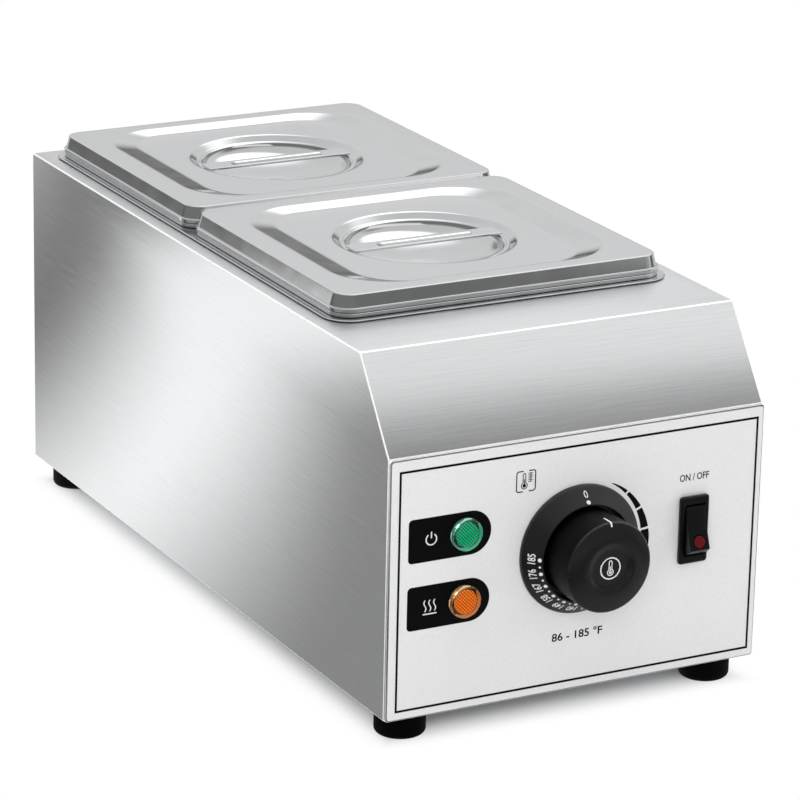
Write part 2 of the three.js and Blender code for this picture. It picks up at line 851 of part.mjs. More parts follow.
// A low bridge under the element's runs
function elementSupport() {
  const low = tankFloor + seamGap;
  const top = elementHeight - elementRadius - seamGap;
  const halfWidthY = supportWidth / 2;
  const outer = block(-supportReach, supportReach, -halfWidthY, halfWidthY, low, top);
  const pitch = (2 * supportReach - supportSheet) / supportArches;
  const half = (pitch - supportSheet) / 2;
  const arches = Array.from({ length: supportArches }, (_, i) => {
    const middle = (i - (supportArches - 1) / 2) * pitch;
    return block(
      middle - half, middle + half, -halfWidthY - cutOverrun, halfWidthY + cutOverrun,
      low - cutOverrun, top - supportSheet,
    );
  });
  return cut(outer, ...arches);
}

// A disc cut-out on two ears, along Z from the tank's outer face
function overheatLimiter() {
  const ear = roundedOutline(limiterEarLength / 2, limiterEarWidth / 2, limiterEarWidth / 2, bendSteps);
  const plate = prism(ear, seamGap, seamGap + limiterEarSheet);
  const disc = toSolid(turned([
    [0, seamGap], [limiterRadius, seamGap], [limiterRadius, limiterDepth - limiterEdge],
    [limiterRadius - limiterEdge, limiterDepth], [0, limiterDepth],
  ], smallSides));
  const blades = [-1, 1].map((side) => blade(side * limiterBladePitch / 2, 0, limiterDepth, bladeLength));
  const earX = (limiterEarLength - limiterEarWidth) / 2;
  const holes = [-1, 1].map((side) => {
    return moved(bar(limiterHoleRadius, -cutOverrun, limiterDepth, screwSides), side * earX, 0, 0);
  });
  return cut(join(plate, disc, ...blades), ...holes);
}

// A push-on terminal blade standing on a face, sunk a little into it
function blade(x, y, z, length, width = bladeWidth) {
  const half = bladeSheet / 2;
  return block(x - half, x + half, y - width / 2, y + width / 2, z - bladeSheet, z + length);
}

// Wiring parts at the rear

function terminalBlock() {
  const halfX = blockLength / 2;
  const halfY = blockWidth / 2;
  const body = prism(roundedOutline(halfX, halfY, blockCorner, bendSteps), 0, blockHeight);
  const pitch = blockLength / blockWays;
  const places = Array.from({ length: blockWays }, (_, i) => (i - (blockWays - 1) / 2) * pitch);
  const wireHoles = places.map((x) => {
    const drill = bar(blockWireRadius, -halfY - cutOverrun, halfY + cutOverrun, screwSides);
    return moved(drill.rotateX(Math.PI / 2), x, 0, blockHeight / 2);
  });
  const screwWells = places.map((x) => {
    const drill = bar(blockScrewRadius, blockHeight - blockScrewDepth, blockHeight + cutOverrun, screwSides);
    return moved(drill, x, 0, 0);
  });
  return cut(body, ...wireHoles, ...screwWells);
}

// The cable gland, along Z from the rear wall's outer face outwards, its bore open and empty
function cableGland() {
  const hexTop = seamGap + inletHexHeight;
  const domeTop = hexTop + inletDomeHeight;
  const thread = bar(inletThreadRadius, -inletThreadLength, hexTop);
  const dome = turned([
    [0, hexTop - seamGap], [inletDomeRadius, hexTop - seamGap],
    ...inletDomeShares.map(([reach, rise]) => [inletDomeRadius * reach, hexTop + inletDomeHeight * rise]),
  ], smallSides);
  const bore = bar(inletBoreRadius, -inletThreadLength - cutOverrun, domeTop + cutOverrun);
  const hexagon = hexBar(inletHexRadius, seamGap, hexTop);
  return cut(join(toSolid(hexagon), toSolid(thread), toSolid(dome)), toSolid(bore));
}

// Feet

function foot() {
  return toSolid(turnedRing([
    [footRecessRadius, 0],
    [footToeRadius, 0],
    [footRadius - footRound * filletShare, footRound * filletShare],
    [footRadius, footRound],
    [footRadius, footHeight - footShoulderRound],
    [footRadius - footShoulderRound, footHeight],
    [footBoreRadius, footHeight],
    [footBoreRadius, footRecessDepth],
    [footRecessRadius, footRecessDepth],
  ], footSides));
}

// A pan-head screw standing on its head, its head's seat at a height
function screw(radius, headRadius, headHeight, seat, length) {
  return toSolid(turned([
    [0, seat - headHeight],
    [headRadius * screwCrownShare, seat - headHeight],
    [headRadius, seat - headHeight * screwEdgeShare],
    [headRadius, seat],
    [radius, seat],
    [radius, seat + length],
    [0, seat + length],
  ], screwSides));
}

// Control panel, drawn face on: X to the right, Y up from the body's bottom edge, Z out of the panel

function faceOutline(inset, corner) {
  const halfHeight = frontHeight / 2;
  return roundedOutline(halfWidth - inset, halfHeight - inset, corner, bendSteps, 0, halfHeight);
}

// The openings that panel and film share
function faceOpenings() {
  const low = panelBack - cutOverrun;
  const hole = (radius, x, y) => moved(bar(radius, low, cutOverrun), x, y, 0);
  const cutX = switchBodyWidth / 2 + seamGap;
  const cutY = switchBodyHeight / 2 + seamGap;
  return [
    hole(lampStubRadius + faceHoleClearance, lampX, powerLampHeight),
    hole(lampStubRadius + faceHoleClearance, lampX, heatLampHeight),
    hole(spindleRadius + dialHoleClearance, 0, dialHeight),
    ...[-1, 1].map((side) => {
      return hole(thermostatScrewRadius + seamGap, 0, dialHeight + side * thermostatScrewOffset);
    }),
    block(switchX - cutX, switchX + cutX, switchHeight - cutY, switchHeight + cutY, low, cutOverrun),
  ];
}

function controlPanel() {
  const inset = frontLipWidth + seamGap;
  const back = panelBack - panelReturnDepth;
  const front = (panelBack + panelFront) / 2;
  const returnOuter = prism(faceOutline(inset, panelCorner), back, front);
  const returnInner = prism(faceOutline(inset + panelSheet, panelCorner), back - cutOverrun, panelBack);
  const face = prism(faceOutline(0, panelCorner), panelBack, panelFront);
  return cut(join(face, cut(returnOuter, returnInner)), ...faceOpenings());
}

function panelFilm() {
  return cut(prism(faceOutline(filmMargin, panelCorner), -filmSheet, 0), ...faceOpenings());
}

// Lamp pieces along Z from the film's face outwards

function lampLens() {
  const seat = seamGap;
  const rim = seat + lampFlangeHeight;
  const dome = domeShares.map(([reach, rise]) => {
    return [lampFlangeRadius * reach, rim + (lampDomeHeight - lampFlangeHeight) * rise];
  });
  return toSolid(turned([
    [0, -lampStubLength], [lampStubRadius, -lampStubLength], [lampStubRadius, seat],
    [lampFlangeRadius, seat], [lampFlangeRadius, rim], ...dome,
  ], lampSides));
}

function lampBody() {
  const top = -lampStubLength - seamGap;
  const low = top - lampBodyLength;
  const body = turned([
    [0, low], [lampBodyRadius - bladeSheet, low], [lampBodyRadius, low + bladeSheet],
    [lampBodyRadius, top], [0, top],
  ], smallSides);
  const blades = [-1, 1].map((side) => {
    return blade(side * lampBladePitch / 2, 0, low - bladeLength + bladeSheet, bladeLength, lampBladeWidth);
  });
  return join(toSolid(body), ...blades);
}

const lampNut = () => hexNut(
  lampNutRadius, lampStubRadius + seamGap, panelBack - seamGap - lampNutHeight, panelBack - seamGap,
);

// Dial pieces along Z from the film's face outwards, about the dial's axis

function dialBezel() {
  const seat = seamGap;
  const floor = seat + bezelFloor;
  const mouth = knobRadius + knobClearance;
  const hole = spindleRadius + dialHoleClearance;
  const rim = bezelHeight - bezelRound;
  const ring = turnedRing([
    [hole, seat], [bezelRadius, seat], [bezelRadius, bezelRimHeight],
    [bezelRadius - bezelRimRun, bezelConeFootHeight], [mouth + bezelLipWidth, rim],
    [mouth + bezelLipWidth - bezelRound, bezelHeight], [mouth + bezelRound, bezelHeight], [mouth, rim],
    [mouth, floor], [hole, floor],
  ], dialSides);
  const screwHoles = [-1, 1].map((side) => {
    const drill = bar(thermostatScrewRadius + seamGap, -cutOverrun, floor + cutOverrun, screwSides);
    return moved(drill, 0, side * thermostatScrewOffset, 0);
  });
  return cut(toSolid(ring), ...screwHoles);
}

const knobFoot = () => seamGap + bezelFloor + knobFootRise;

// The knob's outer form, drawn in all round by an inset
function knobForm(inset) {
  const edge = knobHeight - knobEdgeRise;
  const face = knobFaceShares.map(([reach, rise]) => {
    return [(knobRadius - inset) * reach, edge + knobEdgeRise * rise - inset];
  });
  const dish = knobDishShares.map(([reach, drop]) => {
    return [knobDishRadius * reach, knobHeight - knobDishDepth * drop - inset];
  });
  return toSolid(turned([
    [0, knobFoot()], [knobRadius - knobDraft - inset, knobFoot()], ...face, ...dish,
  ], dialSides));
}

// The place of the white pointer line, over the knob's upper edge
function pointerPlace(margin) {
  return block(
    -pointerWidth / 2 - margin, pointerWidth / 2 + margin,
    knobRadius - pointerFaceLength - margin, knobRadius + cutOverrun,
    knobHeight - knobEdgeRise - pointerSideLength - margin, knobHeight + cutOverrun,
  );
}

const knobPointer = () => cut(knobForm(0).intersect(pointerPlace(0)), knobForm(pointerDepth));

// A D-shaped bar along Z, its flat facing up
function shaft(radius, flat, z0, z1) {
  const side = 2 * radius;
  return cut(
    toSolid(bar(radius, z0, z1)),
    block(-side, side, radius - flat, side, z0 - cutOverrun, z1 + cutOverrun),
  );
}

function controlKnob() {
  const foot = knobFoot();
  const roof = knobHeight - knobFaceWall;
  const skirt = knobRadius - knobWall;
  const hollow = turnedRing([
    [knobHubRadius, foot - cutOverrun], [skirt, foot - cutOverrun], [skirt, roof], [knobHubRadius, roof],
  ], dialSides);
  const ribs = Array.from({ length: knobRibCount }, (_, i) => {
    const rib = new THREE.BoxGeometry(skirt, knobRibThickness, roof - foot - knobRibSetback);
    rib.translate(skirt / 2 + knobWall, 0, (roof + foot + knobRibSetback) / 2);
    return toSolid(rib.rotateZ(((i + 0.5) / knobRibCount) * 2 * Math.PI));
  });
  const bore = shaft(spindleRadius + seamGap, spindleFlat, foot - cutOverrun, spindleReach + seamGap);
  const pointerSlot = cut(pointerPlace(seamGap), knobForm(pointerDepth + seamGap));
  return cut(knobForm(0), cut(toSolid(hollow), ...ribs), bore, pointerSlot);
}

function thermostatSpindle() {
  const rear = thermostatFront() - spindleSocketDepth;
  return shaft(spindleRadius, spindleFlat, rear + seamGap, spindleReach);
}

const thermostatFront = () => panelBack - seamGap;

function thermostatBody() {
  const front = thermostatFront();
  const bracketBack = front - thermostatBracketSheet;
  const back = bracketBack - thermostatDepth;
  const halfX = thermostatBracketWidth / 2;
  const bracket = prism(
    roundedOutline(halfX, thermostatBracketHeight / 2, thermostatCorner, bendSteps), bracketBack, front,
  );
  const bodyOutline = roundedOutline(thermostatWidth / 2, thermostatHeight / 2, thermostatCorner, bendSteps);
  const body = prism(bodyOutline, back, bracketBack);
  const bladeY = thermostatHeight * bladeRowShare;
  const blades = [[-1, -1], [1, -1], [0, 1]].map(([x, y]) => {
    return blade(x * bladeWidth, y * bladeY, back - bladeLength + bladeSheet, bladeLength);
  });
  const socket = toSolid(bar(spindleRadius + seamGap, front - spindleSocketDepth, front + cutOverrun));
  const tapFoot = bracketBack - screwRunout;
  const taps = [-1, 1].map((side) => {
    const drill = bar(thermostatScrewRadius + seamGap, tapFoot, front + cutOverrun, screwSides);
    return moved(drill, 0, side * thermostatScrewOffset, 0);
  });
  return cut(join(bracket, body, ...blades), socket, ...taps);
}

// A screw whose head sits on the bezel's floor, its tip held by the thermostat's bracket
function thermostatScrew() {
  const seat = 2 * seamGap + bezelFloor;
  const tip = thermostatFront() - thermostatBracketSheet - screwRunout + seamGap;
  return screw(
    thermostatScrewRadius, thermostatScrewHeadRadius, thermostatScrewHeadHeight,
    -seat, seat - tip,
  ).rotate([180, 0, 0]);
}

// The capillary from the thermostat's rear to its bulb under the tank
function capillaryPath() {
  const startY = bodyFront - thermostatFront() + thermostatBracketSheet + thermostatDepth + seamGap;
  const startZ = bodyBottom + dialHeight - thermostatHeight / 2 + capillaryInset;
  const bulbZ = tankFloor - tankSheet - seamGap - bulbRadius;
  const bulbY = -wellHalfY + bulbSetback;
  const wallY = -wellHalfY - tankSheet;
  const curve = new THREE.CatmullRomCurve3([
    new THREE.Vector3(0, startY, startZ),
    new THREE.Vector3(0, startY + capillaryInset, startZ),
    new THREE.Vector3(bulbOffset / 2, wallY - capillaryInset, bulbZ),
    new THREE.Vector3(bulbOffset, wallY + 2 * capillaryInset, bulbZ),
    new THREE.Vector3(bulbOffset, bulbY, bulbZ),
  ]);
  const lead = curve.getPoints(capillarySteps).map((point) => point.toArray());
  const bulb = [bulbY, bulbY + bulbLength].map((y) => [bulbOffset, y, bulbZ]);
  return { lead, bulb };
}

function capillary() {
  const { lead, bulb } = capillaryPath();
  const radii = [...lead.map(() => capillaryRadius), ...bulb.map(() => bulbRadius)];
  return pipe([...lead, ...bulb], radii, bulbSides);
}

// A strap clip that holds the bulb up against the tank's floor
function bulbClip() {
  const { bulb } = capillaryPath();
  const top = tankFloor - tankSheet - seamGap;
  const channel = bulbRadius + seamGap;
  const half = channel + clipSheet;
  const low = bulb[0][2] - half;
  const halfY = clipWidth / 2;
  const saddle = block(-half, half, -halfY, halfY, low, top);
  const ears = block(-half - clipEarLength, half + clipEarLength, -halfY, halfY, top - clipSheet, top);
  const bore = new THREE.CylinderGeometry(channel, channel, clipWidth + cutOverrun, smallSides);
  const slot = block(-channel, channel, -clipWidth, clipWidth, bulb[0][2], top + cutOverrun);
  const clip = cut(join(saddle, ears), moved(bore, 0, 0, bulb[0][2]), slot);
  return clip.translate([bulbOffset, (bulb[0][1] + bulb[1][1]) / 2, 0]);
}

// Rocker switch pieces, along Z from the film's face outwards, about the switch's middle

function switchHousing() {
  const front = switchFrameRise;
  const frameLoop = (inset, z) => roundedOutline(
    switchFrameWidth / 2 - inset, switchFrameHeight / 2 - inset, switchFrameCorner - inset, bendSteps,
  ).map((point) => new THREE.Vector3(point.x, point.y, z));
  const frame = loft([
    frameLoop(0, seamGap), frameLoop(0, front - switchFrameBevel), frameLoop(switchFrameBevel, front),
  ]);
  const halfX = switchBodyWidth / 2;
  const halfY = switchBodyHeight / 2;
  const body = block(-halfX, halfX, -halfY, halfY, -switchBodyDepth, (seamGap + front) / 2);
  const cavityX = rockerWidth / 2 + seamGap;
  const cavityY = rockerRadius + rockerClearance;
  const lowest = rockerRadius * Math.sin(THREE.MathUtils.degToRad(rockerHeelAngle + rockerTilt));
  const cavity = block(
    -cavityX, cavityX, -cavityY, cavityY, -rockerPivotDepth - lowest - rockerClearance, front + cutOverrun,
  );
  const reach = rockerWidth / 2 + trunnionLength + seamGap;
  const pivots = moved(
    bar(trunnionRadius + seamGap, -reach, reach, screwSides).rotateY(Math.PI / 2), 0, 0, -rockerPivotDepth,
  );
  const blades = [-1, 0, 1].map((place) => {
    const y = place * switchBladePitch;
    return block(
      -bladeWidth / 2, bladeWidth / 2, y - bladeSheet / 2, y + bladeSheet / 2,
      -switchBodyDepth - bladeLength, -switchBodyDepth + bladeSheet,
    );
  });
  return cut(join(toSolid(frame), body, ...blades), cavity, pivots);
}

// The rocker about its pivot, level: two faces that meet in a shallow valley, and round ends
function rockerOutline() {
  const tip = THREE.MathUtils.degToRad(rockerTipAngle);
  const heel = -THREE.MathUtils.degToRad(rockerHeelAngle);
  const end = Array.from({ length: rockerEndSteps + 1 }, (_, i) => {
    const angle = heel + (tip - heel) * i / rockerEndSteps;
    return new THREE.Vector2(rockerRadius * Math.cos(angle), rockerRadius * Math.sin(angle));
  });
  const mirrored = end.toReversed().map((point) => new THREE.Vector2(-point.x, point.y));
  return [...end, new THREE.Vector2(0, rockerWaist), ...mirrored];
}

// Where the little lens sits on the rocker's lower face
function switchLensSeat() {
  const tip = THREE.MathUtils.degToRad(rockerTipAngle);
  const y = -rockerRadius * Math.cos(tip) * switchLensShare;
  const z = rockerWaist + (rockerRadius * Math.sin(tip) - rockerWaist) * switchLensShare;
  return { y, z };
}

function switchRocker() {
  const seat = switchLensSeat();
  const reach = rockerWidth / 2 + trunnionLength;
  const trunnions = toSolid(bar(trunnionRadius, -reach, reach, screwSides).rotateY(Math.PI / 2));
  const pocket = moved(
    bar(switchLensRadius + seamGap, seat.z - switchLensHeight - seamGap, seat.z + cutOverrun), 0, seat.y, 0,
  );
  return cut(join(prismAlongX(rockerOutline(), rockerWidth), trunnions), pocket);
}

function switchLens() {
  const seat = switchLensSeat();
  const low = seat.z - switchLensHeight;
  const dome = switchLensDomeShares.map(([reach, rise]) => {
    return [switchLensRadius * reach, seat.z + switchLensRise * rise];
  });
  return moved(turned([[0, low], [switchLensRadius, low], ...dome], smallSides), 0, seat.y, 0);
}

// Finishes

function finish(color, metalness, roughness) {
  return new THREE.MeshStandardMaterial({ color, metalness, roughness });
}

const brushedSteel = finish(0xb9bbbd, 1, 0.35);
const polishedSteel = finish(0xd4d6d8, 1, 0.15);
const zincSteel = finish(0xa8abae, 1, 0.45);
const brassMetal = finish(0xb08d4a, 1, 0.4);
const copperTube = finish(0xb87350, 1, 0.35);
const greyFilm = finish(0xe4e4e4, 0, 0.6);
const blackPlastic = finish(0x151617, 0, 0.4);
const whitePlastic = finish(0xf2f2f2, 0, 0.4);
const creamPlastic = finish(0xe9e4d4, 0, 0.5);
const greenLens = finish(0x0ba567, 0, 0.15);
const amberLens = finish(0xe87800, 0, 0.15);
const redLens = finish(0x8f0f14, 0, 0.2);
const blackRubber = finish(0x17181a, 0, 0.75);

// Assembly

const machine = new THREE.Group();

function place(parent, name, solid, material, x = 0, y = 0, z = 0) {
  const mesh = new THREE.Mesh(toGeometry(solid), material);
  mesh.name = name;
  mesh.position.set(x, y, z);
  parent.add(mesh);
}

// A group whose own Z points along the body, out of the front (1) or out of the rear (-1)
function facing(side, x, y, z) {
  const group = new THREE.Group();
  group.rotation.x = side * Math.PI / 2;
  group.position.set(x, y, z);
  machine.add(group);
  return group;
}

place(machine, 'housing', housing(), brushedSteel);
place(machine, 'bottom_plate', bottomPlate(), zincSteel);
place(machine, 'water_tank', waterTank(), brushedSteel);
place(machine, 'divider_bar', dividerBar(), brushedSteel);

for (const [prefix, side] of [['front', -1], ['rear', 1]]) {
  const y = side * panPitch / 2;
  place(machine, `${prefix}_pan`, pan(), polishedSteel, 0, y);
  place(machine, `${prefix}_lid`, lid(), polishedSteel, 0, y);
  place(machine, `${prefix}_lid_handle`, strap(), polishedSteel, 0, y);
}

const face = facing(1, 0, bodyFront, bodyBottom);
place(face, 'control_panel', controlPanel(), zincSteel);
place(face, 'panel_film', panelFilm(), greyFilm);
const lamps = [['power', powerLampHeight, greenLens], ['heat', heatLampHeight, amberLens]];
for (const [name, height, lens] of lamps) {
  place(face, `${name}_lamp_lens`, lampLens(), lens, lampX, height);
  place(face, `${name}_lamp_body`, lampBody(), whitePlastic, lampX, height);
  place(face, `${name}_lamp_nut`, lampNut(), zincSteel, lampX, height);
}
place(face, 'dial_bezel', dialBezel(), blackPlastic, 0, dialHeight);
place(face, 'control_knob', controlKnob(), blackPlastic, 0, dialHeight);
place(face, 'knob_pointer', knobPointer(), whitePlastic, 0, dialHeight);
place(face, 'thermostat_spindle', thermostatSpindle(), zincSteel, 0, dialHeight);
place(face, 'thermostat_body', thermostatBody(), creamPlastic, 0, dialHeight);
for (const [name, side] of [['lower', -1], ['upper', 1]]) {
  const y = dialHeight + side * thermostatScrewOffset;
  place(face, `thermostat_screw_${name}`, thermostatScrew(), zincSteel, 0, y);
}
place(face, 'switch_housing', switchHousing(), blackPlastic, switchX, switchHeight);

const rockerPivot = new THREE.Group();
rockerPivot.position.set(switchX, switchHeight, -rockerPivotDepth);
rockerPivot.rotation.x = -THREE.MathUtils.degToRad(rockerTilt);
face.add(rockerPivot);
place(rockerPivot, 'switch_rocker', switchRocker(), blackPlastic);
place(rockerPivot, 'switch_lens', switchLens(), redLens);

place(machine, 'thermostat_capillary', capillary(), copperTube);
place(machine, 'bulb_clip', bulbClip(), zincSteel);
place(machine, 'heating_element', heatingElement(), zincSteel);
for (const [name, side] of [['left', -1], ['right', 1]]) {
  const wall = facing(1, side * elementOuterX, -wellHalfY, elementHeight);
  const nutFoot = tankSheet + seamGap;
  place(wall, `element_gland_${name}`, elementGland(), brassMetal);
  place(wall, `element_nut_${name}`, hexNut(
    glandNutRadius, glandRadius + seamGap, nutFoot, nutFoot + glandNutHeight,
  ), brassMetal);
}
for (const [name, side] of [['front', -1], ['rear', 1]]) {
  place(machine, `element_support_${name}`, elementSupport(), zincSteel, 0, side * supportOffset);
}
const limiterWall = facing(1, 0, -wellHalfY - tankSheet, limiterHeight);
place(limiterWall, 'overheat_limiter', overheatLimiter(), blackPlastic);

const blockPlace = [inletX - blockShift, bodyRear - blockSetback, bodyBottom];
place(machine, 'terminal_block', terminalBlock(), creamPlastic, ...blockPlace);
const rearWall = facing(-1, inletX, bodyRear, bodyBottom + inletHeight);
place(rearWall, 'cable_gland', cableGland(), blackPlastic);
const lockNutTop = -housingSheet - seamGap;
place(rearWall, 'cable_gland_nut', hexNut(
  inletHexRadius, inletThreadRadius + seamGap, lockNutTop - inletNutHeight, lockNutTop,
), blackPlastic);

const lipTop = bodyBottom + housingSheet;
footPlaces().forEach(([x, y], i) => {
  const name = cornerNames[i];
  const nutFoot = lipTop + seamGap;
  const seat = footRecessDepth - seamGap;
  const length = nutFoot + footNutHeight + screwRunout - seat;
  place(machine, `foot_${name}`, foot(), blackRubber, x, y);
  place(machine, `foot_screw_${name}`, screw(
    footScrewRadius, footScrewHeadRadius, footScrewHeadHeight, seat, length,
  ), zincSteel, x, y);
  place(machine, `foot_nut_${name}`, hexNut(
    footNutRadius, footScrewRadius + seamGap, nutFoot, nutFoot + footNutHeight, screwSides,
  ), zincSteel, x, y);
});
plateScrewPlaces().forEach(([x, y], i) => {
  place(machine, `plate_screw_${cornerNames[i]}`, screw(
    plateScrewRadius, plateScrewHeadRadius, plateScrewHeadHeight, footHeight, plateScrewLength,
  ), zincSteel, x, y);
});

// The origin is under the middle of the whole machine
const knobFrontY = bodyFront - knobHeight;
const glandRearY = bodyRear + seamGap + inletHexHeight + inletDomeHeight;
machine.position.y = -(knobFrontY + glandRearY) / 2;

export default machine;
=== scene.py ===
import math

import bmesh
import bpy
from mathutils import Matrix, Vector


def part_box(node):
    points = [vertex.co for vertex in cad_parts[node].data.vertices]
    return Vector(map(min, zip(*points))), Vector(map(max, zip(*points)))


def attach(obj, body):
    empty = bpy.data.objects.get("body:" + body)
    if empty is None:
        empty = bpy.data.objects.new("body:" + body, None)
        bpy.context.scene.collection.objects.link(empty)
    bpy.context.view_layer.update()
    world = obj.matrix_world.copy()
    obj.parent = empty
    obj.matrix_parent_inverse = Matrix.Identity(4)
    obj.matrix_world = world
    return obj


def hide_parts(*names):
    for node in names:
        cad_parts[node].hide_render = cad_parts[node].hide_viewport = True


bl_info = {
    "name": "Chocolate tempering machine",
    "version": (1, 0, 0),
    "blender": (4, 5, 0),
    "location": "3D View > Sidebar > Warmer",
    "description": "Dresses a two-pan chocolate warmer in its finishes and lights it",
    "category": "Object",
}

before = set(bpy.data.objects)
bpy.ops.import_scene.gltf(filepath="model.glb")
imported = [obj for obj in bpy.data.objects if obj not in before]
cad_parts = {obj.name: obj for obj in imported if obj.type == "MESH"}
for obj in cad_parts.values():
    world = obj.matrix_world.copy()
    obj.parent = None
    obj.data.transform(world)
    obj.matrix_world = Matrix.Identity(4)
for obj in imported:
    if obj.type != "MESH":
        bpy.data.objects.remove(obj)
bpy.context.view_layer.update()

MM = 0.001
FULL_TURN = 2 * math.pi
FACE_ON = (math.pi / 2, 0, 0)                      # turns what is drawn flat to the front
CORNERS = ("front_left", "front_right", "rear_left", "rear_right")
SWEPT = {"interpolation_type": "SMOOTHSTEP"}

# Places that every piece is measured from
body_low, body_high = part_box("housing")
_, plate_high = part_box("control_panel")
film_low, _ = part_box("panel_film")
tank_low, tank_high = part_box("water_tank")
knob_low, knob_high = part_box("control_knob")
body_middle = (body_low + body_high) / 2
KNOB_BOX_EXTRA = 0.25 * MM                         # how much farther the knob's box reaches at its top
FILM_FACE = film_low.y
DIAL_HEIGHT = (knob_low.z + knob_high.z - KNOB_BOX_EXTRA) / 2
SLOPE_RUN = 29.9 * MM
SLOPE_RISE = body_high.z - plate_high.z
SHEET_BREAK = 0.25 * MM  # the broken edge of thick sheet
FILM_BREAK = 0.08 * MM
FLAT = 0.9995            # a face that looks this nearly along an axis is part of that flat


# Colour and nodes


def linear(hex_colour):
    """An sRGB hex colour as linear red, green, blue and alpha."""
    channels = [int(hex_colour[place:place + 2], 16) / 255 for place in (1, 3, 5)]
    straight = [c / 12.92 if c <= 0.04045 else ((c + 0.055) / 1.055) ** 2.4 for c in channels]
    return (*straight, 1.0)


def add_node(owner, kind, settings=None, sockets=None):
    """Adds a node, sets it, and gives each named socket a value or another node's output."""
    tree = owner.node_tree
    node = tree.nodes.new(kind)
    for name, value in (settings or {}).items():
        setattr(node, name, value)
    for name, value in (sockets or {}).items():
        if isinstance(value, bpy.types.NodeSocket):
            tree.links.new(value, node.inputs[name])
        else:
            node.inputs[name].default_value = value
    return node


def new_material(name, colour, constants):
    """A material whose shader has a base colour and constant sockets."""
    material = bpy.data.materials.new(name)
    material.use_nodes = True
    shader = material.node_tree.nodes["Principled BSDF"]
    shader.inputs["Base Color"].default_value = linear(colour)
    for socket, value in constants.items():
        shader.inputs[socket].default_value = value
    return material, shader


def drive(material, shader, outputs):
    """Links outputs to the shader's named sockets."""
    for socket, output in outputs.items():
        material.node_tree.links.new(output, shader.inputs[socket])


def noise_at(material, cell, detail, shift=0.0):
    """Noise whose cells have a real size along each axis."""
    place = add_node(material, "ShaderNodeTexCoord")
    cells = add_node(
        material, "ShaderNodeMapping", {},
        {
            "Vector": place.outputs["Object"], "Location": (shift, shift, shift),
            "Scale": tuple(1 / size for size in cell),
        },
    )
    noise = add_node(
        material, "ShaderNodeTexNoise", {},
        {"Vector": cells.outputs["Vector"], "Scale": 1.0, "Detail": detail, "Roughness": 0.6},
    )
    return noise.outputs["Fac"]


def mottle(material, shader, pattern, colours, roughness, depth, strength):
    """Lets one pattern move colour, roughness and height together."""
    contrast = add_node(
        material, "ShaderNodeMapRange", {}, {"Value": pattern, "From Min": 0.3, "From Max": 0.7},
    ).outputs["Result"]
    tone = add_node(
        material, "ShaderNodeMix", {"data_type": "RGBA"},
        {0: contrast, 6: linear(colours[0]), 7: linear(colours[1])},
    ).outputs[2]
    dullness = add_node(
        material, "ShaderNodeMapRange", {},
        {"Value": contrast, "To Min": roughness[0], "To Max": roughness[1]},
    ).outputs["Result"]
    relief = add_node(
        material, "ShaderNodeBump", {}, {"Height": pattern, "Distance": depth, "Strength": strength},
    ).outputs["Normal"]
    drive(material, shader, {"Base Color": tone, "Roughness": dullness, "Normal": relief})


def graded(owner, place, ramps):
    """The sum of soft steps, each an axis, where it starts and ends along it, and its two levels."""
    total = 0.0
    for across, *ramp in ramps:
        along = add_node(
            owner, "ShaderNodeVectorMath", {"operation": "DOT_PRODUCT"}, {0: place, 1: across},
        ).outputs["Value"]
        stops = dict(zip(("From Min", "From Max", "To Min", "To Max"), ramp))
        step = add_node(owner, "ShaderNodeMapRange", SWEPT, {"Value": along, **stops}).outputs["Result"]
        total = add_node(owner, "ShaderNodeMath", {"operation": "ADD"}, {0: total, 1: step}).outputs["Value"]
    return total


# Kinds of finish. Sizes are in millimetres


GRIND_LENGTH = 30        # length of a belt's streaks
GRIND_DEPTH = 0.006


def ground(name, colours, roughness, grain, anisotropic, strength):
    """Steel ground by a belt: its grain lies along Y on the sides, and along X elsewhere."""
    material, shader = new_material(
        name, colours[1], {"Metallic": 1.0, "Anisotropic": anisotropic},
    )
    geometry = add_node(material, "ShaderNodeNewGeometry")
    split = add_node(material, "ShaderNodeSeparateXYZ", {}, {"Vector": geometry.outputs["Normal"]})
    size = add_node(material, "ShaderNodeMath", {"operation": "ABSOLUTE"}, {0: split.outputs["X"]})
    sideways = add_node(
        material, "ShaderNodeMapRange", {},
        {"Value": size.outputs["Value"], "From Min": 0.6, "From Max": 0.8},
    ).outputs["Result"]
    length, width = GRIND_LENGTH * MM, grain * MM
    along_x = noise_at(material, (length, width, width), 3.0, 7.0)
    along_y = noise_at(material, (width, length, width), 3.0, 3.0)
    streaks = add_node(
        material, "ShaderNodeMix", {"data_type": "FLOAT"}, {0: sideways, 2: along_x, 3: along_y},
    ).outputs[0]
    across = add_node(
        material, "ShaderNodeMix", {"data_type": "VECTOR"},
        {0: sideways, 4: (0.0, 1.0, 1.0), 5: (0.0, 0.0, 1.0)},
    ).outputs[1]
    mottle(material, shader, streaks, colours, roughness, GRIND_DEPTH * MM, strength)
    drive(material, shader, {"Tangent": across})
    return material


def clouded(name, colours, roughness, cell, detail, depth, strength, constants):
    """A surface whose colour, shine and height waver by an even noise."""
    material, shader = new_material(name, colours[1], constants)
    pattern = noise_at(material, (cell * MM, cell * MM, cell * MM), detail)
    mottle(material, shader, pattern, colours, roughness, depth * MM, strength)
    return material


def pressed(name, colours, roughness, wave, metallic=1.0):
    """Bright steel whose reflections waver a little, as on any pressed sheet."""
    return clouded(name, colours, roughness, 14, 1.0, wave, 0.5, {"Metallic": metallic})


def worked(name, colours, roughness, cell, detail):
    """Metal with the fine marks or clouds of its making."""
    return clouded(name, colours, roughness, cell, detail, 0.01, 0.2, {"Metallic": 1.0})


def moulded(name, colours, roughness, grain, depth, constants):
    """A matt surface with a fine even grain."""
    return clouded(name, colours, roughness, grain, 2.0, depth, 0.5, constants)


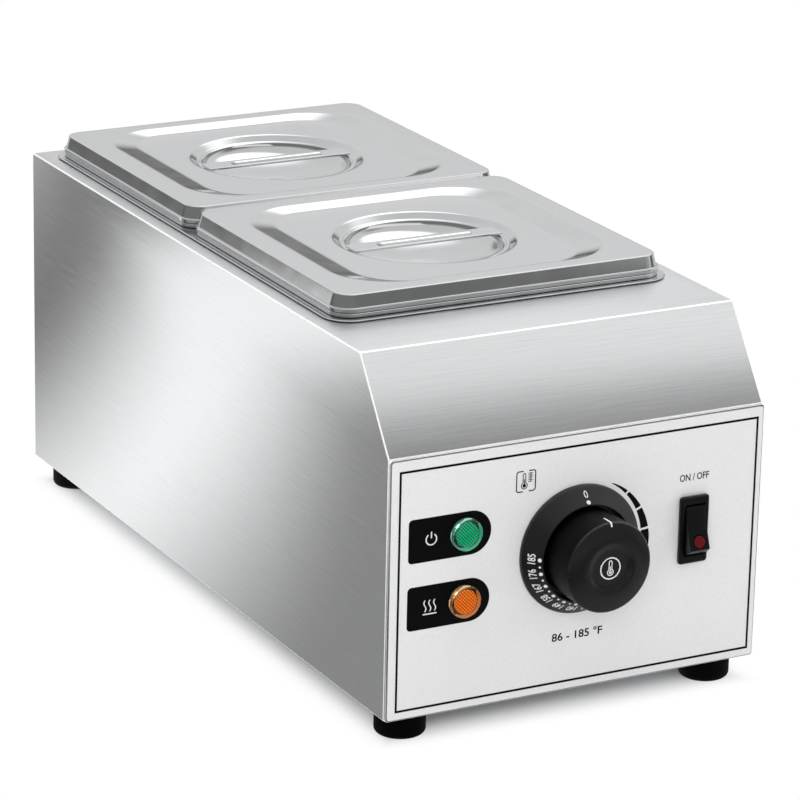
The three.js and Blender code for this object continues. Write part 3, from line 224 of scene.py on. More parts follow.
def plated(name, colours, roughness, crystal):
    """Metal plate with crystals."""
    material, shader = new_material(name, colours[1], {"Metallic": 1.0})
    place = add_node(material, "ShaderNodeTexCoord")
    crystals = add_node(
        material, "ShaderNodeTexVoronoi", {},
        {"Vector": place.outputs["Object"], "Scale": 1 / (crystal * MM)},
    )
    mottle(material, shader, crystals.outputs["Distance"], colours, roughness, 0.01 * MM, 0.2)
    return material


def dome(name, colour):
    """Clear coloured plastic with a polished face, slightly uneven inside."""
    material, shader = new_material(
        name, colour, {"Roughness": 0.03, "IOR": 1.49, "Transmission Weight": 1.0},
    )
    pattern = noise_at(material, (2 * MM, 2 * MM, 2 * MM), 1.0)
    relief = add_node(
        material, "ShaderNodeBump", {}, {"Height": pattern, "Distance": 0.01 * MM, "Strength": 0.3},
    )
    drive(material, shader, {"Normal": relief.outputs["Normal"]})
    return material


def prisms(name, colours, pitch, glow):
    """Coloured plastic moulded with a fine square prism grid."""
    material, shader = new_material(
        name, colours[1],
        {"Roughness": 0.3, "IOR": 1.5, "Specular IOR Level": 0.3, "Emission Strength": glow},
    )
    place = add_node(material, "ShaderNodeTexCoord")
    split = add_node(material, "ShaderNodeSeparateXYZ", {}, {"Vector": place.outputs["Object"]})
    waves = []
    for axis in "XZ":
        turn = add_node(
            material, "ShaderNodeMath", {"operation": "MULTIPLY"},
            {0: split.outputs[axis], 1: FULL_TURN / (pitch * MM)},
        )
        wave = add_node(material, "ShaderNodeMath", {"operation": "SINE"}, {0: turn.outputs["Value"]})
        waves.append(wave.outputs["Value"])
    grid = add_node(material, "ShaderNodeMath", {"operation": "MULTIPLY"}, {0: waves[0], 1: waves[1]})
    level = add_node(
        material, "ShaderNodeMapRange", {},
        {"Value": grid.outputs["Value"], "From Min": -0.6, "From Max": 0.6},
    )
    tone = add_node(
        material, "ShaderNodeMix", {"data_type": "RGBA"},
        {0: level.outputs["Result"], 6: linear(colours[0]), 7: linear(colours[1])},
    ).outputs[2]
    drive(material, shader, {"Base Color": tone, "Emission Color": tone})
    return material


# Finishes: the kind of each, and the settings that its kind asks for


FINISHES = {
    # Stainless sheet ground by a belt: soft streaks, and highlights drawn out across the grain.
    # The streaks are about 0.5 mm wide, several times the real ones, so that they show
    "belt_ground_stainless_sheet": (ground, ("#CFD0D1", "#D9DADB"), (0.17, 0.21), 0.45, 0.35, 0.2),
    # The same sheet ground across on the top: duller, so that the lids mirror in it only as a haze
    "cross_ground_stainless_sheet": (ground, ("#D4D5D6", "#DEDFE0"), (0.36, 0.42), 0.45, 0.2, 0.2),
    # Pressed stainless with its satin mill finish: an even pale grey with hardly any streaks
    "satin_pressed_stainless": (ground, ("#D3D4D6", "#DADBDC"), (0.18, 0.22), 0.6, 0.3, 0.08),
    # Stainless polished by the press tool: it mirrors the room
    "bright_pressed_stainless": (pressed, ("#CCCDCE", "#D0D1D2"), (0.1, 0.14), 0.08),
    # Bends painted near white and only partly metal: a painted highlight, a thin white line along each edge
    "polished_folded_edge": (pressed, ("#F8F8F8", "#FFFFFF"), (0.34, 0.38), 0.01, 0.25),
    # Deep-drawn stainless of the tank: smooth with a dull shine
    "deep_drawn_stainless": (pressed, ("#C6C7C9", "#D0D1D3"), (0.22, 0.27), 0.05),
    # Zinc plate: a mottled, slightly blue grey with crystals of about 2.5 mm
    "zinc_plated_steel": (plated, ("#A4A9AE", "#C2C5C8"), (0.34, 0.5), 2.5),
    # Steel sheath that has been hot: brown and grey clouds under a dull skin
    "heat_darkened_steel": (worked, ("#585049", "#8A857E"), (0.35, 0.55), 18, 4.0),
    # Machined brass: warm yellow with a soft shine and fine tool marks
    "machined_brass": (worked, ("#A98A48", "#C8A860"), (0.22, 0.4), 1.2, 3.0),
    # Drawn copper tube, slightly tarnished
    "drawn_copper_tube": (worked, ("#A06040", "#C88860"), (0.2, 0.38), 3, 3.0),
    # Satin black ABS from a polished mould: nearly black, with soft grey highlights
    "moulded_black_abs": (
        moulded, ("#040405", "#09090A"), (0.3, 0.4), 0.35, 0.012,
        {"IOR": 1.53, "Specular IOR Level": 0.3},
    ),
    # Black ABS from a spark-eroded mould: a fine glittering grain that greys where light falls on it
    "spark_textured_black_abs": (
        moulded, ("#020203", "#08090B"), (0.28, 0.4), 0.6, 0.06,
        {"IOR": 1.53, "Specular IOR Level": 0.6},
    ),
    # Moulded phenolic of the knob's skirt: a deep even black, kept darker than the face's copy as painted
    # shade
    "moulded_black_phenolic": (
        moulded, ("#010102", "#040405"), (0.36, 0.42), 0.4, 0.008,
        {"IOR": 1.6, "Specular IOR Level": 0.05},
    ),
    # The same phenolic on the knob's face, a shade greyer and glossier: painted sheen, standing in for the
    # light that the face catches
    "finger_rubbed_phenolic": (
        moulded, ("#07080A", "#0C0D0F"), (0.26, 0.32), 0.4, 0.008,
        {"IOR": 1.6, "Specular IOR Level": 0.5},
    ),
    # Moulded rubber: matt and nearly black
    "moulded_black_rubber": (
        moulded, ("#010101", "#040404"), (0.6, 0.75), 0.7, 0.03,
        {"IOR": 1.52, "Specular IOR Level": 0.08},
    ),
    # Screen-printed polycarbonate film: light grey with a fine even speckle
    "printed_polycarbonate_film": (
        moulded, ("#DCDCDC", "#E6E6E6"), (0.5, 0.62), 0.5, 0.006, {"IOR": 1.58},
    ),
    # Screen-printed black ink under the film's matt grain
    "screen_printed_black": (
        moulded, ("#020203", "#070708"), (0.45, 0.55), 0.5, 0.004, {"Specular IOR Level": 0.15},
    ),
    # Pad-printed white: slightly grey where the ink is thin
    "pad_printed_white": (moulded, ("#CFD1D4", "#E6E7E9"), (0.5, 0.6), 0.4, 0.004, {}),
    # Natural nylon of the lamp bodies; the pale crescents under the lamp domes, which are painted highlights,
    # use it too
    "moulded_white_nylon": (moulded, ("#E2E2DC", "#F0F0EC"), (0.35, 0.45), 0.6, 0.01, {}),
    # Cream heat-proof resin of the electrical parts
    "moulded_cream_resin": (moulded, ("#DDD6C2", "#EBE5D4"), (0.4, 0.55), 0.8, 0.02, {}),
    # Clear polycarbonate, moulded and polished
    "clear_green_polycarbonate": (dome, "#98EAD0"),
    "clear_amber_polycarbonate": (dome, "#FFC88A"),
    # Polycarbonate moulded with a prism grid, which glows softly under its dome
    "green_prism_polycarbonate": (prisms, ("#004634", "#12BC94"), 1.5, 0.7),
    "amber_prism_polycarbonate": (prisms, ("#8E4A00", "#ECA410"), 1.5, 0.6),
    # The same in the rocker, unlit, with a faint glow that is painted light
    "red_prism_polycarbonate": (prisms, ("#200204", "#7A0A10"), 1.2, 0.05),
}


def finish(name):
    """A finish, made when a piece first asks for it."""
    if name in bpy.data.materials:
        return bpy.data.materials[name]
    make, *settings = FINISHES[name]
    return make(name, *settings)


# Modelling by hand


def activate(*pieces):
    """Selects pieces and makes the first one active."""
    bpy.ops.object.select_all(action="DESELECT")
    for piece in pieces:
        piece.select_set(True)
    bpy.context.view_layer.objects.active = pieces[0]


def select_all():
    bpy.ops.mesh.select_all(action="SELECT")


def edit(piece, kind=None):
    """Opens a piece in edit mode with all of it selected."""
    activate(piece)
    bpy.ops.object.mode_set(mode="EDIT")
    if kind:
        bpy.ops.mesh.select_mode(type=kind)
    select_all()


def leave():
    bpy.ops.object.mode_set(mode="OBJECT")


def pick(piece, kind, test):
    """In edit mode, selects the faces, edges or vertices that pass a test."""
    bpy.ops.mesh.select_mode(type=kind)
    bpy.ops.mesh.select_all(action="DESELECT")
    mesh = bmesh.from_edit_mesh(piece.data)
    kinds = {"VERT": mesh.verts, "EDGE": mesh.edges, "FACE": mesh.faces}
    for element in kinds[kind]:
        if test(element):
            element.select_set(True)
    mesh.select_flush_mode()
    bmesh.update_edit_mesh(piece.data)


def modify(piece, kind, **settings):
    """Adds a modifier with its settings and applies it."""
    activate(piece)
    modifier = piece.modifiers.new(kind.lower(), kind)
    for name, value in settings.items():
        setattr(modifier, name, value)
    bpy.ops.object.modifier_apply(modifier=modifier.name)


def settle(piece, place=(0, 0, 0), turn=(0, 0, 0)):
    """Puts a piece in its place and turn, and sets both into its mesh."""
    activate(piece)
    piece.location = place
    piece.rotation_euler = turn
    bpy.ops.object.transform_apply(location=True, rotation=True, scale=True)


def on_face(piece, x, z, proud=0.0):
    """Turns a piece drawn flat, X right and Y up, to the front panel."""
    settle(piece, (x, FILM_FACE - proud, z), FACE_ON)


def merge(name, *pieces):
    """Joins pieces into the first."""
    activate(*pieces)
    bpy.ops.object.join()
    pieces[0].name = name
    return pieces[0]


def copied(name, mesh):
    """A new piece with its own copy of a mesh."""
    copy = bpy.data.objects.new(name, mesh.copy())
    bpy.context.scene.collection.objects.link(copy)
    return copy


def twin(piece, name, shift):
    """A copy of a piece, moved."""
    copy = copied(name, piece.data)
    settle(copy, shift)
    return copy


def clean_normals(piece, up=None):
    """Merges doubles and turns the faces out; an open skin has its upper face up."""
    edit(piece)
    bpy.ops.mesh.remove_doubles(threshold=0.001 * MM)
    select_all()
    bpy.ops.mesh.normals_make_consistent(inside=False)
    leave()
    if up is not None:
        lean = sum(face.area * face.normal.z for face in piece.data.polygons)
        if (lean > 0) != up:
            edit(piece)
            bpy.ops.mesh.flip_normals()
            leave()


def dress(piece, material, body, slot, *nodes, angle=32):
    """Shades a piece, gives it its finish, ties it to its body, and hides the CAD nodes that it stands for.
    """
    activate(piece)
    bpy.ops.object.shade_smooth_by_angle(angle=math.radians(angle))
    if not piece.data.materials:
        piece.data.materials.append(finish(material))
    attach(piece, body)
    if nodes:
        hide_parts(*nodes)
    return piece


def flatten_shading(piece):
    """Keeps broad faces shading flat, so that only the small rounds between them turn."""
    modify(piece, "WEIGHTED_NORMAL", mode="FACE_AREA", weight=50, keep_sharp=True)


def paint(piece, material, test):
    """Gives the faces that pass a test another finish."""
    piece.data.materials.append(finish(material))
    number = len(piece.data.materials) - 1
    edit(piece)
    pick(piece, "FACE", test)
    piece.active_material_index = number
    bpy.ops.object.material_slot_assign()
    leave()


def node_copy(name, node, bevel, segments):
    """A merged copy of a CAD node with broken edges."""
    copy = copied(name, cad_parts[node].data)
    copy.data.materials.clear()
    edit(copy)
    bpy.ops.mesh.remove_doubles(threshold=0.002 * MM)
    bpy.ops.mesh.dissolve_limited(angle_limit=math.radians(1.5))
    leave()
    modify(
        copy, "BEVEL", width=bevel, segments=segments, limit_method="ANGLE",
        angle_limit=math.radians(40), use_clamp_overlap=True,
    )
    return copy


def dressed_copy(name, node, bevel, segments, material, body, slot):
    """A copy of a CAD node with broken edges, dressed and tied."""
    return dress(node_copy(name, node, bevel, segments), material, body, slot, node)


def middle_of(node):
    """The middle of a CAD node's box."""
    low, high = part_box(node)
    return (low + high) / 2


def drawn(name, points):
    """A line drawn from point to point by extruding its last vertex."""
    bpy.ops.mesh.primitive_plane_add(size=1, location=(0, 0, 0))
    piece = bpy.context.object
    piece.name = name
    edit(piece, "VERT")
    bpy.ops.mesh.merge(type="CENTER")
    bpy.ops.transform.translate(value=points[0])
    for start, end in zip(points, points[1:]):
        step = Vector(end) - Vector(start)
        bpy.ops.mesh.extrude_vertices_move(TRANSFORM_OT_translate={"value": step})
    leave()
    return piece


def turned(name, profile, steps):
    """A profile of (radius, height) spun about Z."""
    piece = drawn(name, [(radius, 0, height) for radius, height in profile])
    edit(piece)
    bpy.ops.mesh.spin(steps=steps, angle=FULL_TURN, center=(0, 0, 0), axis=(0, 0, 1))
    leave()
    clean_normals(piece)
    return piece


def in_mm(points):
    """Points whose sizes are written in millimetres."""
    return [tuple(value * MM for value in point) for point in points]


def arc(centre, radius, start, end, steps):
    """Points of a profile's round stretch, its angles in degrees from the radius axis."""
    angles = [math.radians(start + (end - start) * i / steps) for i in range(steps + 1)]
    return [(centre[0] + radius * math.cos(a), centre[1] + radius * math.sin(a)) for a in angles]


def flat_face(name, half_x, half_y, corner=0.0, steps=6, z=0.0):
    """A flat face with round corners, open in edit mode with all of it selected."""
    bpy.ops.mesh.primitive_plane_add(size=2, location=(0, 0, z))
    face = bpy.context.object
    face.name = name
    face.scale = (half_x, half_y, 1)
    bpy.ops.object.transform_apply(location=True, rotation=True, scale=True)
    edit(face, "VERT")
    if corner:
        bpy.ops.mesh.bevel(offset=corner, segments=steps, affect="VERTICES", offset_type="OFFSET")
    select_all()
    return face


def outline(half_x, half_y, corner, z, steps):
    """One round-cornered loop, or a circle where its three sizes are alike."""
    if half_x != corner or half_y != corner:
        loop = flat_face("loop", half_x, half_y, corner, steps, z)
        bpy.ops.mesh.delete(type="ONLY_FACE")
        leave()
        return loop
    count = 4 * (steps + 1)
    bpy.ops.mesh.primitive_circle_add(vertices=count, radius=corner, location=(0, 0, z))
    loop = bpy.context.object
    loop.rotation_euler.z = FULL_TURN / count / 2
    bpy.ops.object.transform_apply(location=True, rotation=True, scale=True)
    return loop


STACK = 1.0              # distance between loops while they are bridged


def corners_of(part):
    return [part] if isinstance(part, bmesh.types.BMVert) else part.verts


def at_level(number):
    """A test for what lies in one loop of the stack."""
    height = (number + 1) * STACK
    return lambda part: all(abs(vert.co.z - height) < STACK / 4 for vert in corners_of(part))


def bridged(name, stations, steps, close_first=False):
    """A skin through loops of equal counts: they are bridged far apart, and then set to their heights."""
    skin = None
    for number, (half_x, half_y, corner, _) in enumerate(stations):
        loop = outline(half_x, half_y, corner, (number + 1) * STACK, steps)
        if skin is None:
            skin = loop
            continue
        activate(skin, loop)
        bpy.ops.object.join()
        edit(skin)
        ends = (at_level(number - 1), at_level(number))
        pick(skin, "EDGE", lambda edge: any(end(edge) for end in ends))
        bpy.ops.mesh.bridge_edge_loops()
        leave()
    edit(skin)
    for number in (0, len(stations) - 1) if close_first else (len(stations) - 1,):
        pick(skin, "EDGE", at_level(number))
        bpy.ops.mesh.edge_face_add()
    for number, station in enumerate(stations):
        pick(skin, "VERT", at_level(number))
        bpy.ops.transform.translate(value=(0, 0, station[3] - (number + 1) * STACK))
    leave()
    skin.name = name
    return skin


def pressed_skin(name, stations, sheet, steps):
    """A pressed sheet: its upper face runs through stations, from its outer edge to its middle."""
    skin = bridged(name, stations, steps)
    clean_normals(skin, up=True)
    modify(skin, "SOLIDIFY", thickness=sheet, offset=-1, use_even_offset=True)
    return skin


def slab(name, half_x, half_y, corner, thickness, steps=6):
    """A flat plate with round corners, its face at zero and its back below."""
    plate = flat_face(name, half_x, half_y, corner, steps)
    bpy.ops.mesh.extrude_region_move(TRANSFORM_OT_translate={"value": (0, 0, -thickness)})
    leave()
    clean_normals(plate)
    return plate


def cut_with(piece, tool):
    """Cuts a piece with a tool, which is then thrown away."""
    modify(piece, "BOOLEAN", operation="DIFFERENCE", object=tool, solver="EXACT")
    bpy.data.objects.remove(tool, do_unlink=True)


BORE_STEPS = 48


def bore(piece, radius, depth, place):
    """Bores a round hole along the machine's length."""
    bpy.ops.mesh.primitive_cylinder_add(
        vertices=BORE_STEPS, radius=radius, depth=depth, rotation=FACE_ON, location=place,
    )
    cut_with(piece, bpy.context.object)


# Sizes and colours that a user would change


class WarmerSizes(bpy.types.PropertyGroup):
    edge_radius: bpy.props.FloatProperty(
        name="Edge radius", description="Radius of the housing's folded edges",
        default=0.6 * MM, min=0.2 * MM, max=2.4 * MM, unit="LENGTH",
    )
    sheet: bpy.props.FloatProperty(
        name="Sheet", description="Thickness of the housing's sheet",
        default=1.0 * MM, min=0.5 * MM, max=2 * MM, unit="LENGTH",
    )
    border_width: bpy.props.FloatProperty(
        name="Border line", description="Width of the black line round the panel",
        default=1.1 * MM, min=0.2 * MM, max=3 * MM, unit="LENGTH",
    )
    digit_height: bpy.props.FloatProperty(
        name="Digit height", description="Height of the numbers on the dial",
        default=3.9 * MM, min=2 * MM, max=5 * MM, unit="LENGTH",
    )


class WarmerColours(bpy.types.PropertyGroup):
    floor: bpy.props.FloatVectorProperty(
        name="Floor", description="Colour of the floor", subtype="COLOR", size=4,
        default=linear("#F4F4F4"), min=0.0, max=1.0,
    )
    backdrop: bpy.props.FloatVectorProperty(
        name="Backdrop", description="Colour that the camera sees behind the machine",
        subtype="COLOR", size=4, default=(1.0, 1.0, 1.0, 1.0), min=0.0, max=1.0,
    )


# Stage


CAMERA_PLACE = Vector((-903.27, -1703.45, 738.57)) * MM
CAMERA_AIM = Vector((0.0, -18.90, 101.04)) * MM
CAMERA_LEAN = math.radians(1.248)
CAMERA_LENS = 182.44
CAMERA_FAR = 100
SENSOR_WIDTH = 36.0
LOOK = (CAMERA_AIM - CAMERA_PLACE).normalized()
UP = (0.0, 0.0, 1.0)
FLOOR_SIZE = 14
FIBRE = 3 * MM                                     # paper fibres, drawn coarse so that they show
SHADOW_REACH = (-24 * MM, 8 * MM)                  # the floor turns white over this gap from the body

# What metal sees on the floor: an axis across it, where a change starts and ends, and the two levels
FLOOR_RAMPS = [
    ((0.88, 1.0, 0.0), -0.205, 0.095, 0.36, 1.34),     # a lit band starts, askew
    ((1.6, 1.0, 0.0), -0.07, 0.25, 0.0, -1.12),        # the band ends
    ((0.88, 1.0, 0.0), -0.42, -0.3, -0.3, 0.0),        # a dark strip in front ends
    ((0.88, 1.0, 0.0), -0.7, -0.57, 0.3, 0.0),         # the dark strip starts
    ((1.0, 0.5, 0.0), 0.06, 0.3, 0.0, 0.5),            # paler behind and to the right
]
DARKEST = 0.1                                      # the floor is nowhere darker to metal than this

# What metal sees of the room, by the direction that it looks in
ROOM_FRONT = [(UP, 0.4, 0.8, 0.3, 1.0)]
ROOM_BEHIND = [(UP, 0.08, 0.27, 0.19, 1.08)]
ROOM_TURN = [(LOOK, -0.2, 0.3, 0.0, 1.0)]          # from the front of the room to what is behind
SOFT_BOX = [((0.448, 0.4, 0.8), 0.9, 0.975, 0.0, 1.5)]
ROOM_FILL = 0.5                                    # the room's light on matt surfaces

# The card that grades the shoulder: its ramps run up it, a hair askew as the shoulder's light is
CARD_DISTANCE = 200 * MM
CARD_HALF = (260 * MM, 120 * MM)
CARD_UP = (-0.028, 1.0, 0.0)
CARD_RAMPS = [
    (CARD_UP, -36 * MM, 10 * MM, 0.45, 1.1),
    (CARD_UP, -66 * MM, -40 * MM, -0.24, 0.0),
]

# Lamps: name, place, aim, width and height, and power
LAMPS = [
    ("top_soft_box", (-0.3, 0.2, 1.6), (0, 0, 0.1), (1.6, 1.6), 20),
    ("front_soft_box", (-0.9, -1.8, 1.0), (0, -0.1, 0.1), (1.2, 0.9), 14),
    ("right_soft_box", (1.6, -0.6, 0.9), (0, 0, 0.1), (0.8, 1.2), 8),
]


def soft_box(name, place, aim, size, power):
    """A soft box that lights matt surfaces only: the room and the card are what metal mirrors."""
    bpy.ops.object.light_add(type="AREA", location=place)
    lamp = bpy.context.object
    lamp.name = name
    lamp.data.shape = "RECTANGLE"
    lamp.data.size, lamp.data.size_y = size
    lamp.data.energy = power
    lamp.visible_glossy = False
    lamp.rotation_euler = (Vector(aim) - Vector(place)).to_track_quat("-Z", "Y").to_euler()


def shown(owner, *kinds):
    """One where the ray is of any of the kinds."""
    rays = add_node(owner, "ShaderNodeLightPath")
    total = 0.0
    for kind in kinds:
        total = add_node(
            owner, "ShaderNodeMath", {"operation": "MAXIMUM"}, {0: total, 1: rays.outputs[kind]},
        ).outputs["Value"]
    return total


class WARMER_OT_stage(bpy.types.Operator):
    """Sets the floor, the soft light and the camera"""

    bl_idname = "warmer.stage"
    bl_label = "Stage"

    def execute(self, context):
        scene = context.scene
        colours = scene.warmer_colours
        bpy.ops.object.camera_add(location=CAMERA_PLACE)
        camera = bpy.context.object
        camera.rotation_euler = LOOK.to_track_quat("-Z", "Y").to_euler()
        camera.rotation_euler.rotate_axis("Z", CAMERA_LEAN)
        camera.data.lens = CAMERA_LENS
        camera.data.sensor_width = SENSOR_WIDTH
        camera.data.clip_end = CAMERA_FAR
        scene.camera = camera

        bpy.ops.mesh.primitive_plane_add(size=FLOOR_SIZE, location=(0, 0, 0))
        floor = bpy.context.object
        floor.name = "studio_floor"
        floor.data.materials.append(white_paper(colours.floor))
        shoulder_card()
        white_room(scene, colours.backdrop)
        for lamp in LAMPS:
            soft_box(*lamp)
        scene.view_settings.view_transform = "Standard"
        return {"FINISHED"}


def white_paper(colour):
    # Matt white paper that keeps the shadow near the machine and runs out to plain white.
    # Polished metal sees a lit band across it, which gives the side its broad highlight
    material, shader = new_material("white_paper_sweep", "#F4F4F4", {"Roughness": 0.9})
    shader.inputs["Base Color"].default_value = colour
    fibre = noise_at(material, (FIBRE, FIBRE, FIBRE), 1.0)
    relief = add_node(
        material, "ShaderNodeBump", {}, {"Height": fibre, "Distance": 0.02 * MM, "Strength": 0.2},
    )
    drive(material, shader, {"Normal": relief.outputs["Normal"]})
    place = add_node(material, "ShaderNodeTexCoord").outputs["Object"]
    band = add_node(
        material, "ShaderNodeMath", {"operation": "MAXIMUM"},
        {0: graded(material, place, FLOOR_RAMPS), 1: DARKEST},
    ).outputs["Value"]
    mirrored = add_node(material, "ShaderNodeEmission", {}, {"Strength": band}).outputs[0]
    white = add_node(material, "ShaderNodeEmission").outputs[0]

    beyond = place
    for operation, other in (
        ("SUBTRACT", body_middle), ("ABSOLUTE", (0, 0, 0)), ("SUBTRACT", body_high - body_middle),
    ):
        beyond = add_node(
            material, "ShaderNodeVectorMath", {"operation": operation}, {0: beyond, 1: other},
        ).outputs["Vector"]
    split = add_node(material, "ShaderNodeSeparateXYZ", {}, {"Vector": beyond})
    gap = add_node(
        material, "ShaderNodeMath", {"operation": "MAXIMUM"}, {0: split.outputs["X"], 1: split.outputs["Y"]},
    ).outputs["Value"]
    fade = add_node(
        material, "ShaderNodeMapRange", SWEPT,
        {"Value": gap, "From Min": SHADOW_REACH[0], "From Max": SHADOW_REACH[1]},
    ).outputs["Result"]
    seen = shown(material, "Is Camera Ray", "Is Transmission Ray")
    faded = add_node(material, "ShaderNodeMath", {"operation": "MULTIPLY"}, {0: fade, 1: seen})
    paper = add_node(
        material, "ShaderNodeMixShader", {}, {0: faded.outputs["Value"], 1: shader.outputs[0], 2: white},
    ).outputs[0]
    both = add_node(
        material, "ShaderNodeMixShader", {}, {0: shown(material, "Is Glossy Ray"), 1: paper, 2: mirrored},
    ).outputs[0]
    drive(material, material.node_tree.nodes["Material Output"], {"Surface": both})
    return material


def shoulder_card():
    """A graded card close to the shoulder, which only polished metal sees."""
    outward = Vector((0, -SLOPE_RISE, SLOPE_RUN)).normalized()
    start = Vector((0, body_low.y + SLOPE_RUN / 2, plate_high.z + SLOPE_RISE / 2))
    mirrored = LOOK - 2 * LOOK.dot(outward) * outward
    sideways = Vector((1, 0, 0))
    axis_x = (sideways - sideways.dot(mirrored) * mirrored).normalized()
    axis_y = mirrored.cross(axis_x)
    bpy.ops.mesh.primitive_plane_add(size=2)
    card = bpy.context.object
    card.name = "shoulder_card"
    card.scale = (*CARD_HALF, 1)
    bpy.ops.object.transform_apply(location=False, rotation=False, scale=True)
    turn = Matrix((axis_x, axis_y, mirrored)).transposed()
    card.matrix_world = Matrix.Translation(start + CARD_DISTANCE * mirrored) @ turn.to_4x4()

    material = bpy.data.materials.new("graded_card")
    material.use_nodes = True
    place = add_node(material, "ShaderNodeTexCoord").outputs["Object"]
    level = graded(material, place, CARD_RAMPS)
    glow = add_node(material, "ShaderNodeEmission", {}, {"Strength": level}).outputs[0]
    drive(material, material.node_tree.nodes["Material Output"], {"Surface": glow})
    card.data.materials.append(material)
    card.visible_camera = False
    card.visible_diffuse = False
    card.visible_shadow = False
    card.visible_transmission = False


def white_room(scene, colour):
    """White for the camera, a plain level for matt surfaces, and a shaded room for metal."""
    world = scene.world or bpy.data.worlds.new("studio")
    scene.world = world
    world.use_nodes = True
    world.node_tree.nodes.clear()
    towards = add_node(world, "ShaderNodeTexCoord").outputs["Generated"]
    front, behind, turn, box = [
        graded(world, towards, ramps) for ramps in (ROOM_FRONT, ROOM_BEHIND, ROOM_TURN, SOFT_BOX)
    ]
    shade = add_node(
        world, "ShaderNodeMix", {"data_type": "FLOAT"}, {0: turn, 2: front, 3: behind},
    ).outputs[0]
    level = add_node(world, "ShaderNodeMath", {"operation": "ADD"}, {0: shade, 1: box}).outputs["Value"]
    room = add_node(world, "ShaderNodeBackground", {}, {"Strength": level}).outputs[0]
    fill = add_node(world, "ShaderNodeBackground", {}, {"Color": (1, 1, 1, 1), "Strength": ROOM_FILL})
    lit = add_node(
        world, "ShaderNodeMixShader", {}, {0: shown(world, "Is Glossy Ray"), 1: fill.outputs[0], 2: room},
    ).outputs[0]
    white = add_node(world, "ShaderNodeBackground", {}, {"Color": colour}).outputs[0]
    seen = shown(world, "Is Camera Ray", "Is Transmission Ray")
    both = add_node(world, "ShaderNodeMixShader", {}, {0: seen, 1: lit, 2: white}).outputs[0]
    add_node(world, "ShaderNodeOutputWorld", {}, {"Surface": both})


# Housing


BOTTOM_LIP = 22 * MM
WINDOW_LIP = 8 * MM
OPENING_CORNER = 3 * MM
WELL_FLANGE = 9.5 * MM
WELL_MARGIN = 3.3 * MM
WELL_CORNER = 20 * MM
INLET_HOLE = 8.2 * MM
INLET_DEPTH = 20 * MM
OVERRUN = 1 * MM         # how far a cutting tool reaches past the sheet
TOP_LEVEL = 0.999        # the top's faces look at least this straight up


class WARMER_OT_housing(bpy.types.Operator):
    """Folds the housing from one sheet, with its sloped shoulder and well opening"""

    bl_idname = "warmer.housing"
    bl_label = "Housing"

    def execute(self, context):
        sizes = context.scene.warmer_sizes
        bpy.ops.mesh.primitive_cube_add(size=1, location=body_middle)
        shell = bpy.context.object
        shell.name = "folded_housing"
        shell.scale = body_high - body_low
        bpy.ops.object.transform_apply(location=True, rotation=True, scale=True)
        edit(shell)
        bpy.ops.mesh.bisect(
            plane_co=(0, body_low.y, plate_high.z), plane_no=(0, -SLOPE_RISE, SLOPE_RUN),
            use_fill=True, clear_outer=True,
        )
        select_all()
        bpy.ops.mesh.normals_make_consistent(inside=False)
        bpy.ops.mesh.select_mode(type="EDGE")
        select_all()
        bpy.ops.mesh.bevel(offset=sizes.edge_radius, segments=5, profile=0.5, affect="EDGES")
        leave()
        clean_normals(shell)
        modify(shell, "SOLIDIFY", thickness=sizes.sheet, offset=-1, use_even_offset=True)

        half_length = (body_high.y - body_low.y) / 2
        half_height = (plate_high.z - body_low.z) / 2
        well_x = tank_high.x - WELL_FLANGE + WELL_MARGIN
        well_y = (tank_high.y - tank_low.y) / 2 - WELL_FLANGE + WELL_MARGIN
        through = 2 * sizes.sheet + OVERRUN
        under = slab(
            "bottom_cutter", body_high.x - BOTTOM_LIP, half_length - BOTTOM_LIP, OPENING_CORNER, through,
        )
        settle(under, (0, body_middle.y, body_low.z + 2 * sizes.sheet))
        window = slab(
            "window_cutter", body_high.x - WINDOW_LIP, half_height - WINDOW_LIP, OPENING_CORNER, through,
        )
        settle(window, (0, body_low.y - OVERRUN, body_low.z + half_height), FACE_ON)
        well = slab("well_cutter", well_x, well_y, WELL_CORNER + WELL_MARGIN, 4 * OVERRUN, 12)
        settle(well, (0, (tank_low.y + tank_high.y) / 2, body_high.z + OVERRUN))
        for tool in (under, window, well):
            cut_with(shell, tool)
        gland = middle_of("cable_gland")
        bore(shell, INLET_HOLE, INLET_DEPTH, (gland.x, body_high.y, gland.z))

        shell.data.materials.append(finish("belt_ground_stainless_sheet"))
        # The bends get the painted highlight: a near-white line along each edge
        paint(shell, "polished_folded_edge", is_folded_edge)
        paint(shell, "cross_ground_stainless_sheet", lambda face: face.normal.z > TOP_LEVEL)
        dress(shell, None, "base", "brushed_body_steel", "housing", angle=25)
        return {"FINISHED"}


# The faces that this picks out carry the painted highlight
def is_folded_edge(face):
    """Whether a face belongs to a bend, and to none of the housing's flats."""
    slope = Vector((0, -SLOPE_RISE, SLOPE_RUN)).normalized()
    flats = [Vector((1, 0, 0)), Vector((0, 1, 0)), Vector((0, 0, 1)), slope]
    return all(abs(face.normal.dot(flat)) < FLAT for flat in flats)


# Tank, bar and pans


def rect(half_x, half_y, corner, inset, z):
    """A station of a skin, drawn in from its largest outline."""
    return (half_x - inset, half_y - inset, corner - inset, z)


def down_round(half_x, half_y, corner, radius, top, steps=4):
    """Stations of a quarter round that turns from flat to straight down."""
    angles = [math.pi / 2 * i / steps for i in range(steps + 1)]
    return [
        rect(half_x, half_y, corner, -radius * (1 - math.sin(a)), top - radius * (1 - math.cos(a)))
        for a in angles
    ]


def floor_round(half_x, half_y, corner, radius, floor, steps=5):
    """Stations of a quarter round that turns from straight down to flat."""
    angles = [math.pi / 2 * i / steps for i in range(steps + 1)]
    return [
        rect(half_x, half_y, corner, radius * (1 - math.cos(a)), floor + radius * (1 - math.sin(a)))
        for a in angles
    ]


